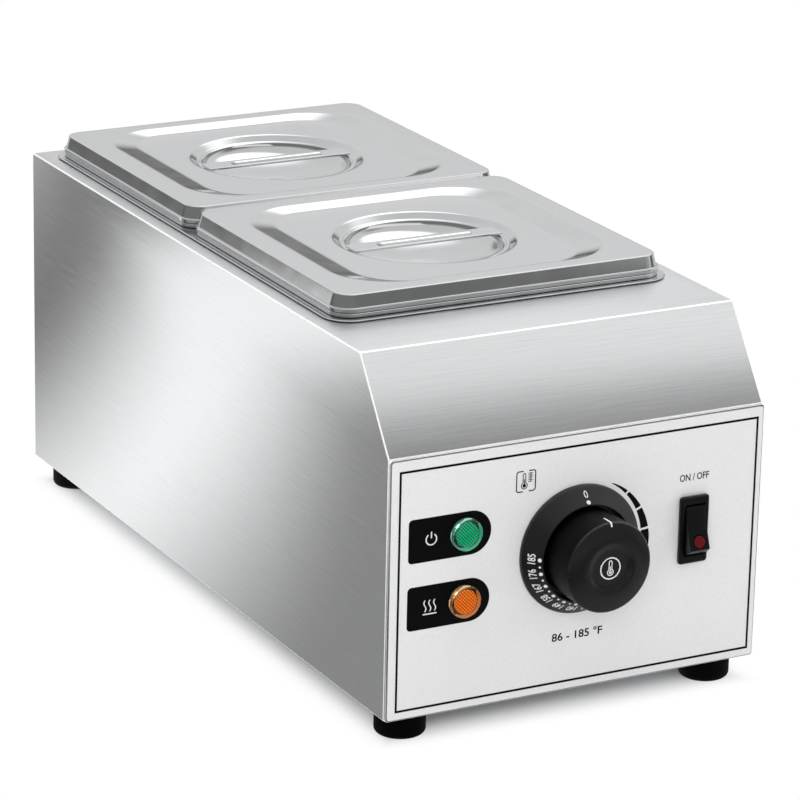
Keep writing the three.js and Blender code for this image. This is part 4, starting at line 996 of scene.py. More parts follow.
TANK_FLANGE_CORNER = 14 * MM
TANK_SHEET = 1 * MM
TANK_BREAK = 0.4 * MM
TANK_SHOULDER = 2 * MM
TANK_FILLET = 8 * MM
GLAND_HOLE = 6.9 * MM
GLAND_DEPTH = 30 * MM
SKIN_STEPS = 10          # segments of a corner of the tank and the pans


class WARMER_OT_tank(bpy.types.Operator):
    """Draws the water tank and dresses the bar across it"""

    bl_idname = "warmer.tank"
    bl_label = "Water tank"

    def execute(self, context):
        middle_y = (tank_low.y + tank_high.y) / 2
        flange = (tank_high.x, (tank_high.y - tank_low.y) / 2, TANK_FLANGE_CORNER)
        well = (flange[0] - WELL_FLANGE, flange[1] - WELL_FLANGE, WELL_CORNER)
        top, floor = tank_high.z, tank_low.z + TANK_SHEET
        stations = [
            rect(*flange, 0, top - TANK_BREAK),
            rect(*flange, TANK_BREAK, top),
            *down_round(*well, TANK_SHOULDER, top),
            *floor_round(*well, TANK_FILLET, floor),
        ]
        tank = pressed_skin("drawn_water_tank", stations, TANK_SHEET, SKIN_STEPS)
        settle(tank, (0, middle_y, 0))
        for side in ("left", "right"):
            gland = middle_of(f"element_gland_{side}")
            bore(tank, GLAND_HOLE, GLAND_DEPTH, (gland.x, middle_y - well[1], gland.z))
        dress(tank, "deep_drawn_stainless", "base", "tank_steel", "water_tank")
        dressed_copy(
            "pan_divider_bar", "divider_bar", SHEET_BREAK, 2, "belt_ground_stainless_sheet", "base",
            "brushed_body_steel",
        )
        return {"FINISHED"}


PAN_SHEET = 0.8 * MM
PAN_RIM_WIDTH = 12 * MM
PAN_RIM_CORNER = 11 * MM
PAN_RIM = in_mm([(0, 2), (0, 0.9), (0.12, 0.45), (0.45, 0.12), (0.9, 0)])      # inset, and drop from the top
PAN_MOUTH_CORNER = 20 * MM
PAN_SHOULDER = 1.6 * MM
PAN_TAPER = 7 * MM
PAN_FILLET = 12 * MM
PAN_DEPTH = 100 * MM


class WARMER_OT_pans(bpy.types.Operator):
    """Presses the two food pans"""

    bl_idname = "warmer.pans"
    bl_label = "Pans"

    def execute(self, context):
        low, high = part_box("front_pan")
        half_x, half_y, top = high.x, (high.y - low.y) / 2, high.z
        mouth = (half_x - PAN_RIM_WIDTH, half_y - PAN_RIM_WIDTH, PAN_MOUTH_CORNER)
        taper = PAN_TAPER * (1 - PAN_FILLET / PAN_DEPTH)
        stations = [
            *[rect(half_x, half_y, PAN_RIM_CORNER, inset, top - drop) for inset, drop in PAN_RIM],
            *down_round(*mouth, PAN_SHOULDER, top),
            *[rect(*wide, taper, z) for *wide, z in floor_round(*mouth, PAN_FILLET, top - PAN_DEPTH)],
        ]
        pan = pressed_skin("pressed_front_pan", stations, PAN_SHEET, SKIN_STEPS)
        settle(pan, (0, (low.y + high.y) / 2, 0))
        rear_low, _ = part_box("rear_pan")
        other = twin(pan, "pressed_rear_pan", (0, rear_low.y - low.y, 0))
        for piece, body in ((pan, "front_pan"), (other, "rear_pan")):
            dress(piece, "bright_pressed_stainless", body, "pressed_steel", body)
            flatten_shading(piece)
        return {"FINISHED"}


# Lids


LID_SHEET = 0.8 * MM
LID_CORNER = 11 * MM
LID_RISE = 8.1 * MM                                # from the lip's edge to the deck
LID_LIP = 1.8 * MM
LID_LEDGE = 0.9 * MM
LID_BEVEL_RUN = 1.7 * MM
LID_STEPS = 29                                     # segments of a corner
DECK_BORDER = 3 * MM
EDGE_ROUNDS = (0.5 * MM, 0.35 * MM, 0.45 * MM)     # at the lip, the ledge and the deck
RECESS_OUTER = (16 * MM, 12 * MM, 31 * MM)         # inset at the sides and ends, and corner radius
RECESS_INNER = (29 * MM, 17.5 * MM, 25 * MM)
RECESS_DEPTH = 2.3 * MM
RECESS_ROUND = 0.08                                # share of the wall that each rounded edge takes
DISH_RADIUS = 45 * MM
DISH_BORDER = 2 * MM
DISH_RUN = 3.8 * MM
DISH_DEPTH = 3.0 * MM
DISH_STEP = 0.9 * MM
DISH_ROUNDS = (0.9 * MM, 0.6 * MM, 0.3 * MM, 0.5 * MM)
RIDGE_HALF = 0.9 * MM
RIDGE_HEIGHT = 0.6 * MM
BOWL_DEPTH = 10 * MM
BOWL_STEPS = 13
BOWL_FULLNESS = 0.92                               # below 1 the wall starts steeper
SATIN_BELOW = 0.3 * MM                             # the satin finish reaches this far under the field
SATIN_LEVEL = 0.9999                               # and only on faces that look this straight up
STRAP_CORNER = 1 * MM
STRAP_SHEET = 1.2 * MM
STRAP_BREAK = 0.3 * MM
BEAD = (26 * MM, 2.5 * MM, 2.49 * MM)              # half length, half width, and corner radius
# Inset and height of the bead's stations
BEAD_RISE = in_mm([(0, -0.6), (0, 0.05), (0.2, 0.45), (0.6, 0.8), (1.2, 1.02), (1.8, 1.1)])


def rounded_path(points, radii, steps=3):
    """A line through points, with a round of its own size at each corner."""
    path = [Vector(points[0])]
    for before, here, after, radius in zip(points, points[1:], points[2:], radii):
        before, here, after = Vector(before), Vector(here), Vector(after)
        start = here + (before - here).normalized() * radius
        end = here + (after - here).normalized() * radius
        for share in [i / steps for i in range(steps + 1)]:
            path.append(start.lerp(here, share).lerp(here.lerp(end, share), share))
    return [*path, Vector(points[-1])]


class WARMER_OT_lids(bpy.types.Operator):
    """Presses the two lids and lays a strap across each dish"""

    bl_idname = "warmer.lids"
    bl_label = "Lids"

    def execute(self, context):
        low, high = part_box("front_lid")
        half_x, half_y, deck = high.x, (high.y - low.y) / 2, high.z
        middle = (0, (low.y + high.y) / 2, 0)
        field = deck - RECESS_DEPTH
        step = field - DISH_DEPTH
        stations = [
            *self.edge(half_x, half_y, deck), *self.recess(half_x, half_y, deck, field),
            *self.dish(field, step),
        ]
        lid = pressed_skin("pressed_front_lid", stations, LID_SHEET, LID_STEPS)
        settle(lid, middle)
        strap = self.strap(step + RIDGE_HEIGHT)
        settle(strap, middle)

        def is_satin(face):
            return face.normal.z > SATIN_LEVEL and face.calc_center_median().z > field - SATIN_BELOW

        lid.data.materials.append(finish("bright_pressed_stainless"))
        paint(lid, "satin_pressed_stainless", is_satin)
        strap.data.materials.append(finish("satin_pressed_stainless"))
        rear_low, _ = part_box("rear_lid")
        shift = (0, rear_low.y - low.y, 0)
        rear_lid = twin(lid, "pressed_rear_lid", shift)
        rear_strap = twin(strap, "rear_strap_handle", shift)
        pieces = [
            (lid, "front_lid", "front_lid"), (strap, "front_lid", "front_lid_handle"),
            (rear_lid, "rear_lid", "rear_lid"), (rear_strap, "rear_lid", "rear_lid_handle"),
        ]
        for piece, body, node in pieces:
            dress(piece, None, body, "pressed_steel", node, angle=30)
            flatten_shading(piece)
        return {"FINISHED"}

    def edge(self, half_x, half_y, deck):
        """Stations of the lip, the ledge and the bevel up to the deck."""
        lip_low = deck - LID_RISE
        lip_top = lip_low + LID_LIP
        bevel = LID_LEDGE + LID_BEVEL_RUN
        corners = [
            (0, lip_low), (0, lip_top), (LID_LEDGE, lip_top), (bevel, deck), (bevel + DECK_BORDER, deck),
        ]
        path = rounded_path(corners, EDGE_ROUNDS)
        return [rect(half_x, half_y, LID_CORNER, inset, z) for inset, z in path]

    def recess(self, half_x, half_y, deck, field):
        """Stations of the wall round the sunk field."""
        stations = []
        wall = rounded_path([(-0.5, deck), (0, deck), (1, field), (1.5, field)], [RECESS_ROUND] * 2)
        for share, z in wall:
            side, end, corner = [a + (b - a) * share for a, b in zip(RECESS_OUTER, RECESS_INNER)]
            stations.append((half_x - side, half_y - end, corner, z))
        return stations

    def dish(self, field, step):
        """Stations of the round dish, the ridge that carries the strap, and the bowl."""
        ridge = DISH_RADIUS - DISH_RUN - DISH_STEP - RIDGE_HALF
        bowl = ridge - RIDGE_HALF
        corners = [
            (DISH_RADIUS + DISH_BORDER, field), (DISH_RADIUS, field), (DISH_RADIUS - DISH_RUN, step),
            (ridge + RIDGE_HALF, step), (ridge, step + RIDGE_HEIGHT), (bowl, step),
        ]
        circles = [(point.x, point.y) for point in rounded_path(corners, DISH_ROUNDS)]
        for i in range(1, BOWL_STEPS):
            turn = math.pi / 2 * i / BOWL_STEPS
            sunk = BOWL_DEPTH * math.sin(turn) ** BOWL_FULLNESS
            circles.append((bowl * math.cos(turn), step - sunk))
        return [(radius, radius, radius, z) for radius, z in circles]

    def strap(self, seat):
        """The strap, its edges broken, with a raised bead pressed along its middle."""
        low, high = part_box("front_lid_handle")
        plate = slab("front_strap_handle", high.x, (high.y - low.y) / 2, STRAP_CORNER, STRAP_SHEET, 4)
        modify(
            plate, "BEVEL", width=STRAP_BREAK, segments=3, limit_method="ANGLE",
            angle_limit=math.radians(60),
        )
        stations = [rect(*BEAD, inset, z) for inset, z in BEAD_RISE]
        bead = bridged("strap_bead", stations, 8, close_first=True)
        clean_normals(bead)
        strap = merge("front_strap_handle", plate, bead)
        settle(strap, (0, 0, seat + STRAP_BREAK + STRAP_SHEET))
        return strap


# Prints


INK = 0.06 * MM
CAPITAL_SHARE = 0.73     # height of a capital in the type's size
MERCURY_SHARE = 0.62     # how far the column reaches up its stem
BAR_ROUND = 0.98         # corner radius of a bar's ends, in its half width


def thicken(piece, thickness=INK, fill=False, line=0.0):
    """Gives a flat print its thickness; an outline is filled first, and of a line only the border stays."""
    edit(piece)
    bpy.ops.mesh.remove_doubles(threshold=0.001 * MM)
    select_all()
    if fill:
        bpy.ops.mesh.edge_face_add()
    if line:
        bpy.ops.mesh.inset(thickness=line)
        bpy.ops.mesh.delete(type="FACE")
        select_all()
    bpy.ops.mesh.extrude_region_move(TRANSFORM_OT_translate={"value": (0, 0, thickness)})
    leave()
    clean_normals(piece)
    return piece


def closed_outline(name, points, thickness=INK):
    """A filled print from points that go round once."""
    return thicken(drawn(name, [*points, points[0]]), thickness, fill=True)


def arc_points(centre_x, centre_y, radius, start, end, steps):
    return [(x, y, 0) for x, y in arc((centre_x, centre_y), radius, start, end, steps)]


def disc(name, radius, vertices):
    bpy.ops.mesh.primitive_circle_add(vertices=vertices, radius=radius, fill_type="NGON")
    bpy.context.object.name = name
    return bpy.context.object


def bar_print(name, x0, x1, y0, y1):
    """A printed bar with round ends."""
    half_x, half_y = (x1 - x0) / 2, (y1 - y0) / 2
    bar = slab(name, half_x, half_y, min(half_x, half_y) * BAR_ROUND, INK, 5)
    settle(bar, ((x0 + x1) / 2, (y0 + y1) / 2, INK))
    return bar


def frame_print(name, half_x, half_y, corner, width):
    """A printed line that goes round a rectangle."""
    face = flat_face(name, half_x, half_y, corner, 5)
    leave()
    return thicken(face, line=width)


def lettering(name, text, height, narrow=1.0, weight=0.0):
    """Plain figures as a flat print, centred on their place; weight swells their strokes."""
    bpy.ops.object.text_add(location=(0, 0, 0))
    figures = bpy.context.object
    figures.name = name
    figures.data.body = text
    figures.data.size = height / CAPITAL_SHARE
    figures.data.align_x = "CENTER"
    figures.data.align_y = "CENTER"
    figures.data.resolution_u = 3
    figures.data.offset = weight * figures.data.size
    figures.scale.x = narrow
    bpy.ops.object.convert(target="MESH")
    bpy.ops.object.transform_apply(location=False, rotation=False, scale=True)
    return figures


def thermometer_print(name, bulb, stem, height, line):
    """A thermometer: a line round its bulb and half stem, with a filled bulb and column inside."""
    neck = math.degrees(math.asin(stem / bulb))
    outer = [
        *arc_points(0, 0, bulb, 90 + neck, 450 - neck, 24),
        *arc_points(0, height, stem, 0, 180, 8),
    ]
    glass = thicken(drawn(name, [*outer, outer[0]]), fill=True, line=line)
    bead = closed_outline("mercury_bead", arc_points(0, 0, bulb - 2 * line, 0, 345, 23))
    column = bar_print("mercury_column", -line / 2, line / 2, 0, height * MERCURY_SHARE)
    return merge(name, glass, bead, column)


# Front panel. Places are across from the machine's middle and up from the floor


LABEL_LEFT = -89.2 * MM
LABEL_RIGHT = -46.5 * MM
LABEL_HEIGHT = 21.2 * MM
LABEL_CORNER = 2 * MM
SYMBOL_X = -77.5 * MM
BORDER_HALF = (95.1 * MM, 58.4 * MM)
BORDER_MIDDLE = (0.7 * MM, 75.5 * MM)
CAPTION_RISE = 9 * MM                              # from the switch to the words over it
SWITCH_TYPE = (3.5 * MM, 0.8, 0.012)               # height, width to the type's own, and swelling
RANGE_TYPE = (4 * MM, 1.1, 0.016)
RANGE_X = 1 * MM
RANGE_DROP = 43 * MM
POWER_RING = (3 * MM, 0.62 * MM)                   # radius and line
POWER_OPENING = (125, 415)                         # degrees where its ring starts and ends
POWER_BAR = (-0.31 * MM, 0.31 * MM, 0.4 * MM, 3.7 * MM)
WAVE_PITCH = 2.5 * MM
WAVE_FOOT = -2.2 * MM
WAVE_LENGTH = 5.6 * MM
WAVE_BEND = 0.55 * MM
WAVE_HALF = 0.3 * MM
WAVE_STEPS = 16
HEAT_BAR = (-3.6 * MM, 3.6 * MM, -3.7 * MM, -3.1 * MM)
ARC_INNER = 33.6 * MM
ARC_TIP = 33.8 * MM
ARC_GROWTH = 4.2 * MM
ARC_START = 30           # degrees clockwise from the top
ARC_PITCH = 18
ARC_SWEEP = 16.2
ARC_COUNT = 6
ARC_STEPS = 8
ARC_WIDENING = 60        # degrees over which the arcs grow to their full width
ARC_CURVE = 0.8          # below 1 they grow fastest at their point
SIGN_PLACE = (-29 * MM, 120.1 * MM)
BRACKET_HALF = 5.2 * MM
BRACKET_CORNER = 1.4 * MM
BRACKET_LINE = 0.55 * MM
BRACKET_GAP = (1.5 * MM, 1 * MM)                   # half sizes of the gap in the bracket's ends
GAP_DEPTH = 2 * MM
# Bulb, half stem, height and line of the thermometer, and where it stands on the sign
SIGN_THERMOMETER = (1.75 * MM, 0.9 * MM, 5.2 * MM, 0.42 * MM)
SIGN_THERMOMETER_PLACE = (-0.9 * MM, -2.1 * MM, 0)
# The scale beside it, in millimetres: its spine's sides, foot and head, and its ticks
SCALE_SPINE = (2.3, 2.65, -0.6, 3.9)
TICK_COUNT = 6
TICK_TOP = 3.7
TICK_PITCH = 0.82
TICK_START = 1.1
TICK_ENDS = (3.5, 3.1)   # of the long and the short ticks, in turn
TICK_HALF = 0.17


class WARMER_OT_panel(bpy.types.Operator):
    """Dresses the front plate, its film and what is printed on it"""

    bl_idname = "warmer.panel"
    bl_label = "Control panel"

    def execute(self, context):
        sizes = context.scene.warmer_sizes
        plate = node_copy("front_plate", "control_panel", SHEET_BREAK, 2)
        plate.data.materials.append(finish("belt_ground_stainless_sheet"))
        # The plate's bends get the same painted highlight
        paint(plate, "polished_folded_edge", is_folded_edge)
        dress(plate, None, "base", "brushed_body_steel", "control_panel")
        dressed_copy(
            "printed_film", "panel_film", FILM_BREAK, 1, "printed_polycarbonate_film", "base", "panel_film",
        )

        border = frame_print("border_line", *BORDER_HALF, 0, sizes.border_width)
        on_face(border, *BORDER_MIDDLE)
        dark, marks = [border], []
        for lamp, symbol in (("power", self.power_symbol), ("heat", self.heat_symbol)):
            height = middle_of(f"{lamp}_lamp_lens").z
            dark.append(self.label(height))
            mark = symbol()
            on_face(mark, SYMBOL_X, height, INK)
            marks.append(mark)
        switch_low, switch_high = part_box("switch_housing")
        caption = thicken(lettering("switch_caption", "ON / OFF", *SWITCH_TYPE))
        on_face(caption, (switch_low.x + switch_high.x) / 2, switch_high.z + CAPTION_RISE)
        span = thicken(lettering("range_caption", "86 - 185 °F", *RANGE_TYPE))
        on_face(span, RANGE_X, DIAL_HEIGHT - RANGE_DROP)
        dark += [*self.heat_arcs(), self.temperature_sign(), caption, span]
        black = merge("panel_black_print", *dark)
        dress(black, "screen_printed_black", "base", "black_plastic")
        white = merge("panel_white_print", *marks)
        dress(white, "pad_printed_white", "base", "white_plastic")
        return {"FINISHED"}

    def label(self, height):
        """A black label, square at its left and round at its right."""
        half = LABEL_HEIGHT / 2
        left = LABEL_LEFT + LABEL_CORNER
        points = [
            *arc_points(LABEL_RIGHT - half, 0, half, -90, 90, 20),
            *arc_points(left, half - LABEL_CORNER, LABEL_CORNER, 90, 180, 5),
            *arc_points(left, LABEL_CORNER - half, LABEL_CORNER, 180, 270, 5),
        ]
        label = closed_outline("lamp_label", points)
        on_face(label, 0, height)
        return label

    def power_symbol(self):
        """An open ring with a bar through its gap."""
        radius, line = POWER_RING
        outer = arc_points(0, 0, radius, *POWER_OPENING, 36)
        inner = arc_points(0, 0, radius - line, *reversed(POWER_OPENING), 36)
        ring = closed_outline("power_ring", [*outer, *inner])
        return merge("power_symbol", ring, bar_print("power_bar", *POWER_BAR))

    def heat_symbol(self):
        """Three rising waves over a bar."""
        shares = [i / WAVE_STEPS for i in range(WAVE_STEPS + 1)]
        waves = []
        for centre in (-WAVE_PITCH, 0, WAVE_PITCH):
            line = [
                (centre + WAVE_BEND * math.sin(FULL_TURN * share), WAVE_FOOT + WAVE_LENGTH * share)
                for share in shares
            ]
            left = [(x - WAVE_HALF, y, 0) for x, y in line]
            right = [(x + WAVE_HALF, y, 0) for x, y in line]
            waves.append(closed_outline("heat_wave", [*left, *reversed(right)]))
        return merge("heat_symbol", *waves, bar_print("heat_bar", *HEAT_BAR))

    def heat_arcs(self):
        """Black arcs that widen clockwise round the dial."""
        arcs = []
        for number in range(ARC_COUNT):
            start = ARC_START + ARC_PITCH * number
            angles = [start + ARC_SWEEP * i / ARC_STEPS for i in range(ARC_STEPS + 1)]
            outer = [self.clock(self.arc_reach(angle), angle) for angle in angles]
            inner = [self.clock(ARC_INNER, angle) for angle in reversed(angles)]
            piece = closed_outline("heat_arc", [*outer, *inner])
            on_face(piece, 0, DIAL_HEIGHT)
            arcs.append(piece)
        return arcs

    def arc_reach(self, angle):
        """Outer radius of the arcs, which grows from a point."""
        share = min(1.0, (angle - ARC_START + 1) / ARC_WIDENING)
        return ARC_TIP + ARC_GROWTH * share ** ARC_CURVE

    def clock(self, radius, angle):
        """A point at an angle clockwise from the top."""
        turn = math.radians(angle)
        return (radius * math.sin(turn), radius * math.cos(turn), 0)

    def temperature_sign(self):
        """A thermometer and its scale between two round brackets."""
        half = BRACKET_HALF
        bracket = frame_print("sign_bracket", half, half, BRACKET_CORNER, BRACKET_LINE)
        for end in (half, -half):
            tool = slab("gap", *BRACKET_GAP, 0, GAP_DEPTH)
            settle(tool, (0, end, GAP_DEPTH / 2))
            cut_with(bracket, tool)
        sign = thermometer_print("sign_thermometer", *SIGN_THERMOMETER)
        settle(sign, SIGN_THERMOMETER_PLACE)
        bars = [SCALE_SPINE]
        for number in range(TICK_COUNT):
            y = TICK_TOP - TICK_PITCH * number
            bars.append((TICK_START, TICK_ENDS[number % 2], y - TICK_HALF, y + TICK_HALF))
        scale = [bar_print("sign_scale", *bar) for bar in in_mm(bars)]
        whole = merge("temperature_sign", bracket, sign, *scale)
        on_face(whole, *SIGN_PLACE)
        return whole


# Lamps


LAMP_RADIUS = 7.8 * MM
LAMP_GRID = 5.1 * MM
LAMP_STUB = 4.7 * MM
LAMP_SEAT = 0.9 * MM
LAMP_FOOT = 0.1 * MM                               # of the prism, over the film
LAMP_BREAK = 0.15 * MM
LAMP_RIM = 1.9 * MM
CAP_FOOT = 0.12 * MM
CAP_GAP = 0.1 * MM                                 # between the prism and the dome over it
CAP_CLEARANCE = 0.3 * MM
DOME_STEPS = 16
LAMP_STEPS = 64
# The crescent under each dome: a pale sheet that is a painted highlight
CRESCENT_OUTER = 6.8 * MM
CRESCENT_INNER = 6.4 * MM
CRESCENT_SHIFT = 1.5 * MM                          # how far its hollow is set up and to the left
CRESCENT_REACH = math.radians(80)                  # to each side of its middle
CRESCENT_SHEET = 0.08 * MM
CRESCENT_STEPS = 24
CRESCENT_TIP = 0.05 * MM                           # its least width


class WARMER_OT_lamps(bpy.types.Operator):
    """Moulds the two lamp lenses"""

    bl_idname = "warmer.lamps"
    bl_label = "Lamps"

    def execute(self, context):
        low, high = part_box("power_lamp_lens")
        proud, stub = FILM_FACE - low.y, high.y - FILM_FACE
        foot, seat, inside = LAMP_FOOT, LAMP_SEAT, LAMP_GRID + CAP_CLEARANCE
        holder = [
            (0, -stub), (LAMP_STUB, -stub), (LAMP_STUB, foot), (LAMP_GRID, foot),
            (LAMP_GRID, seat - LAMP_BREAK), (LAMP_GRID - LAMP_BREAK, seat), (0, seat),
        ]
        angles = [math.pi / 2 * i / DOME_STEPS for i in range(1, DOME_STEPS)]
        cap = [
            (0, seat + CAP_GAP), (inside, seat + CAP_GAP), (inside, CAP_FOOT),
            (LAMP_RADIUS, CAP_FOOT), (LAMP_RADIUS, LAMP_RIM),
            *[
                (LAMP_RADIUS * math.cos(a), LAMP_RIM + (proud - LAMP_RIM) * math.sin(a))
                for a in angles
            ],
            (0, proud),
        ]
        pieces = [
            turned("power_lamp_prism", holder, LAMP_STEPS), turned("power_lamp_dome", cap, LAMP_STEPS),
            self.crescent(),
        ]
        for piece in pieces:
            on_face(piece, (low.x + high.x) / 2, (low.z + high.z) / 2)
        other_low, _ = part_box("heat_lamp_lens")
        shift = (0, 0, other_low.z - low.z)
        others = [twin(piece, piece.name.replace("power", "heat"), shift) for piece in pieces]
        for lamp, colour, (prism, cover, crescent) in (("power", "green", pieces), ("heat", "amber", others)):
            node = f"{lamp}_lamp_lens"
            dress(prism, f"{colour}_prism_polycarbonate", "base", f"{colour}_lens", node)
            dress(cover, f"clear_{colour}_polycarbonate", "base", f"{colour}_lens", node)
            # The crescent is a painted highlight under the dome
            dress(crescent, "moulded_white_nylon", "base", "white_plastic")
        return {"FINISHED"}

    def crescent(self):
        """A pale crescent under the dome at its lower right: a painted highlight, standing in for the dome's
        reflection of the bright floor.
        """
        shift = Vector((-1, 1)).normalized() * CRESCENT_SHIFT
        outer, inner = [], []
        for i in range(CRESCENT_STEPS + 1):
            angle = CRESCENT_REACH * (2 * i / CRESCENT_STEPS - 1) - math.pi / 4
            around = Vector((math.cos(angle), math.sin(angle)))
            along = around.dot(shift)
            hollow = along + math.sqrt(along * along - shift.dot(shift) + CRESCENT_INNER ** 2)
            outer.append((*(around * CRESCENT_OUTER), 0))
            inner.append((*(around * min(hollow, CRESCENT_OUTER - CRESCENT_TIP)), 0))
        return closed_outline("power_lamp_crescent", [*outer, *reversed(inner)], CRESCENT_SHEET)


# Dial


CONE_FOOT = (30.5, 2.5)
CONE_HEAD = (24.1, 8.5)
# Radius and height of the ring's outline, in millimetres, from its bore outwards and back
RING_PROFILE = [
    (5, 0.3), (31.4, 0.3), (31.4, 1.3), (31.28, 1.75), (30.95, 2.15), CONE_FOOT, CONE_HEAD,
    (23.85, 8.72), (23.6, 8.8), (23.35, 8.7), (23.2, 8.4), (23.2, 2.3), (5, 2.3), (5, 0.3),
]
DIAL_STEPS = 128
NUMBERS = [86, 95, 104, 113, 122, 131, 140, 149, 158, 167, 176, 185]
FIRST_NUMBER_ANGLE = 95
NUMBER_STEP = 16
NUMBER_TYPE = (0.72, 0.012)                        # width to the type's own, and swelling
OFF_NARROW = 0.85
NUMBER_PLACE = 27.7 * MM
OFF_PLACE = 27.9 * MM
DOT_PLACE = 25 * MM
DOT_SIZES = (0.95 * MM, 0.55 * MM, 1.05 * MM)      # at a number, half-way, and at off
PRINT_LIFT = 0.2 * MM                              # over the cone, before the prints are laid on it
FIGURE_LIFT = 0.03 * MM                            # and once they lie on it
KNOB_RADIUS = 22 * MM
KNOB_DRAFT = 0.5 * MM
KNOB_SHOULDER = 2.7 * MM
KNOB_BEND = (0.8 * MM, 0.9 * MM)                   # how far the shoulder's bend goes in and up
KNOB_CROWN_SHARE = 0.74                            # where the crown starts, of the radius
KNOB_CROWN_DROP = 0.35 * MM
SHOULDER_ROUNDS = (0.4 * MM, 0.5 * MM, 2 * MM)
KNOB_RIM = 1 * MM
KNOB_RIM_DROP = 0.1 * MM
KNOB_DISH = 11.7 * MM
KNOB_DISH_WALL = 2.2 * MM
KNOB_DISH_ROUNDS = (0.9 * MM, 1.4 * MM)
KNOB_DISH_DEPTH = 1.3 * MM
KNOB_WALL = 2.2 * MM
KNOB_ROOF = 4 * MM
KNOB_FACE = 3 * MM       # the face with the painted sheen starts this far behind the knob's front
KNOB_FACE_LEAN = -0.3    # and its faces look at least this far to the front
SHAFT_BORE = 3.3 * MM
SHAFT_BOSS = 6.4 * MM
SHAFT_DEPTH = 12 * MM
KNOB_SIGN_RING = (5.4 * MM, 0.62 * MM)             # radius and line
KNOB_THERMOMETER = (1.75 * MM, 1.0 * MM, 4.8 * MM, 0.46 * MM)
KNOB_THERMOMETER_DROP = 1.9 * MM
POINTER_WIDTH = 0.8 * MM
POINTER_SIDE = 5.6 * MM
POINTER_FACE = 2.0 * MM
POINTER_PROUD = 0.06 * MM
POINTER_DEPTH = 0.5 * MM


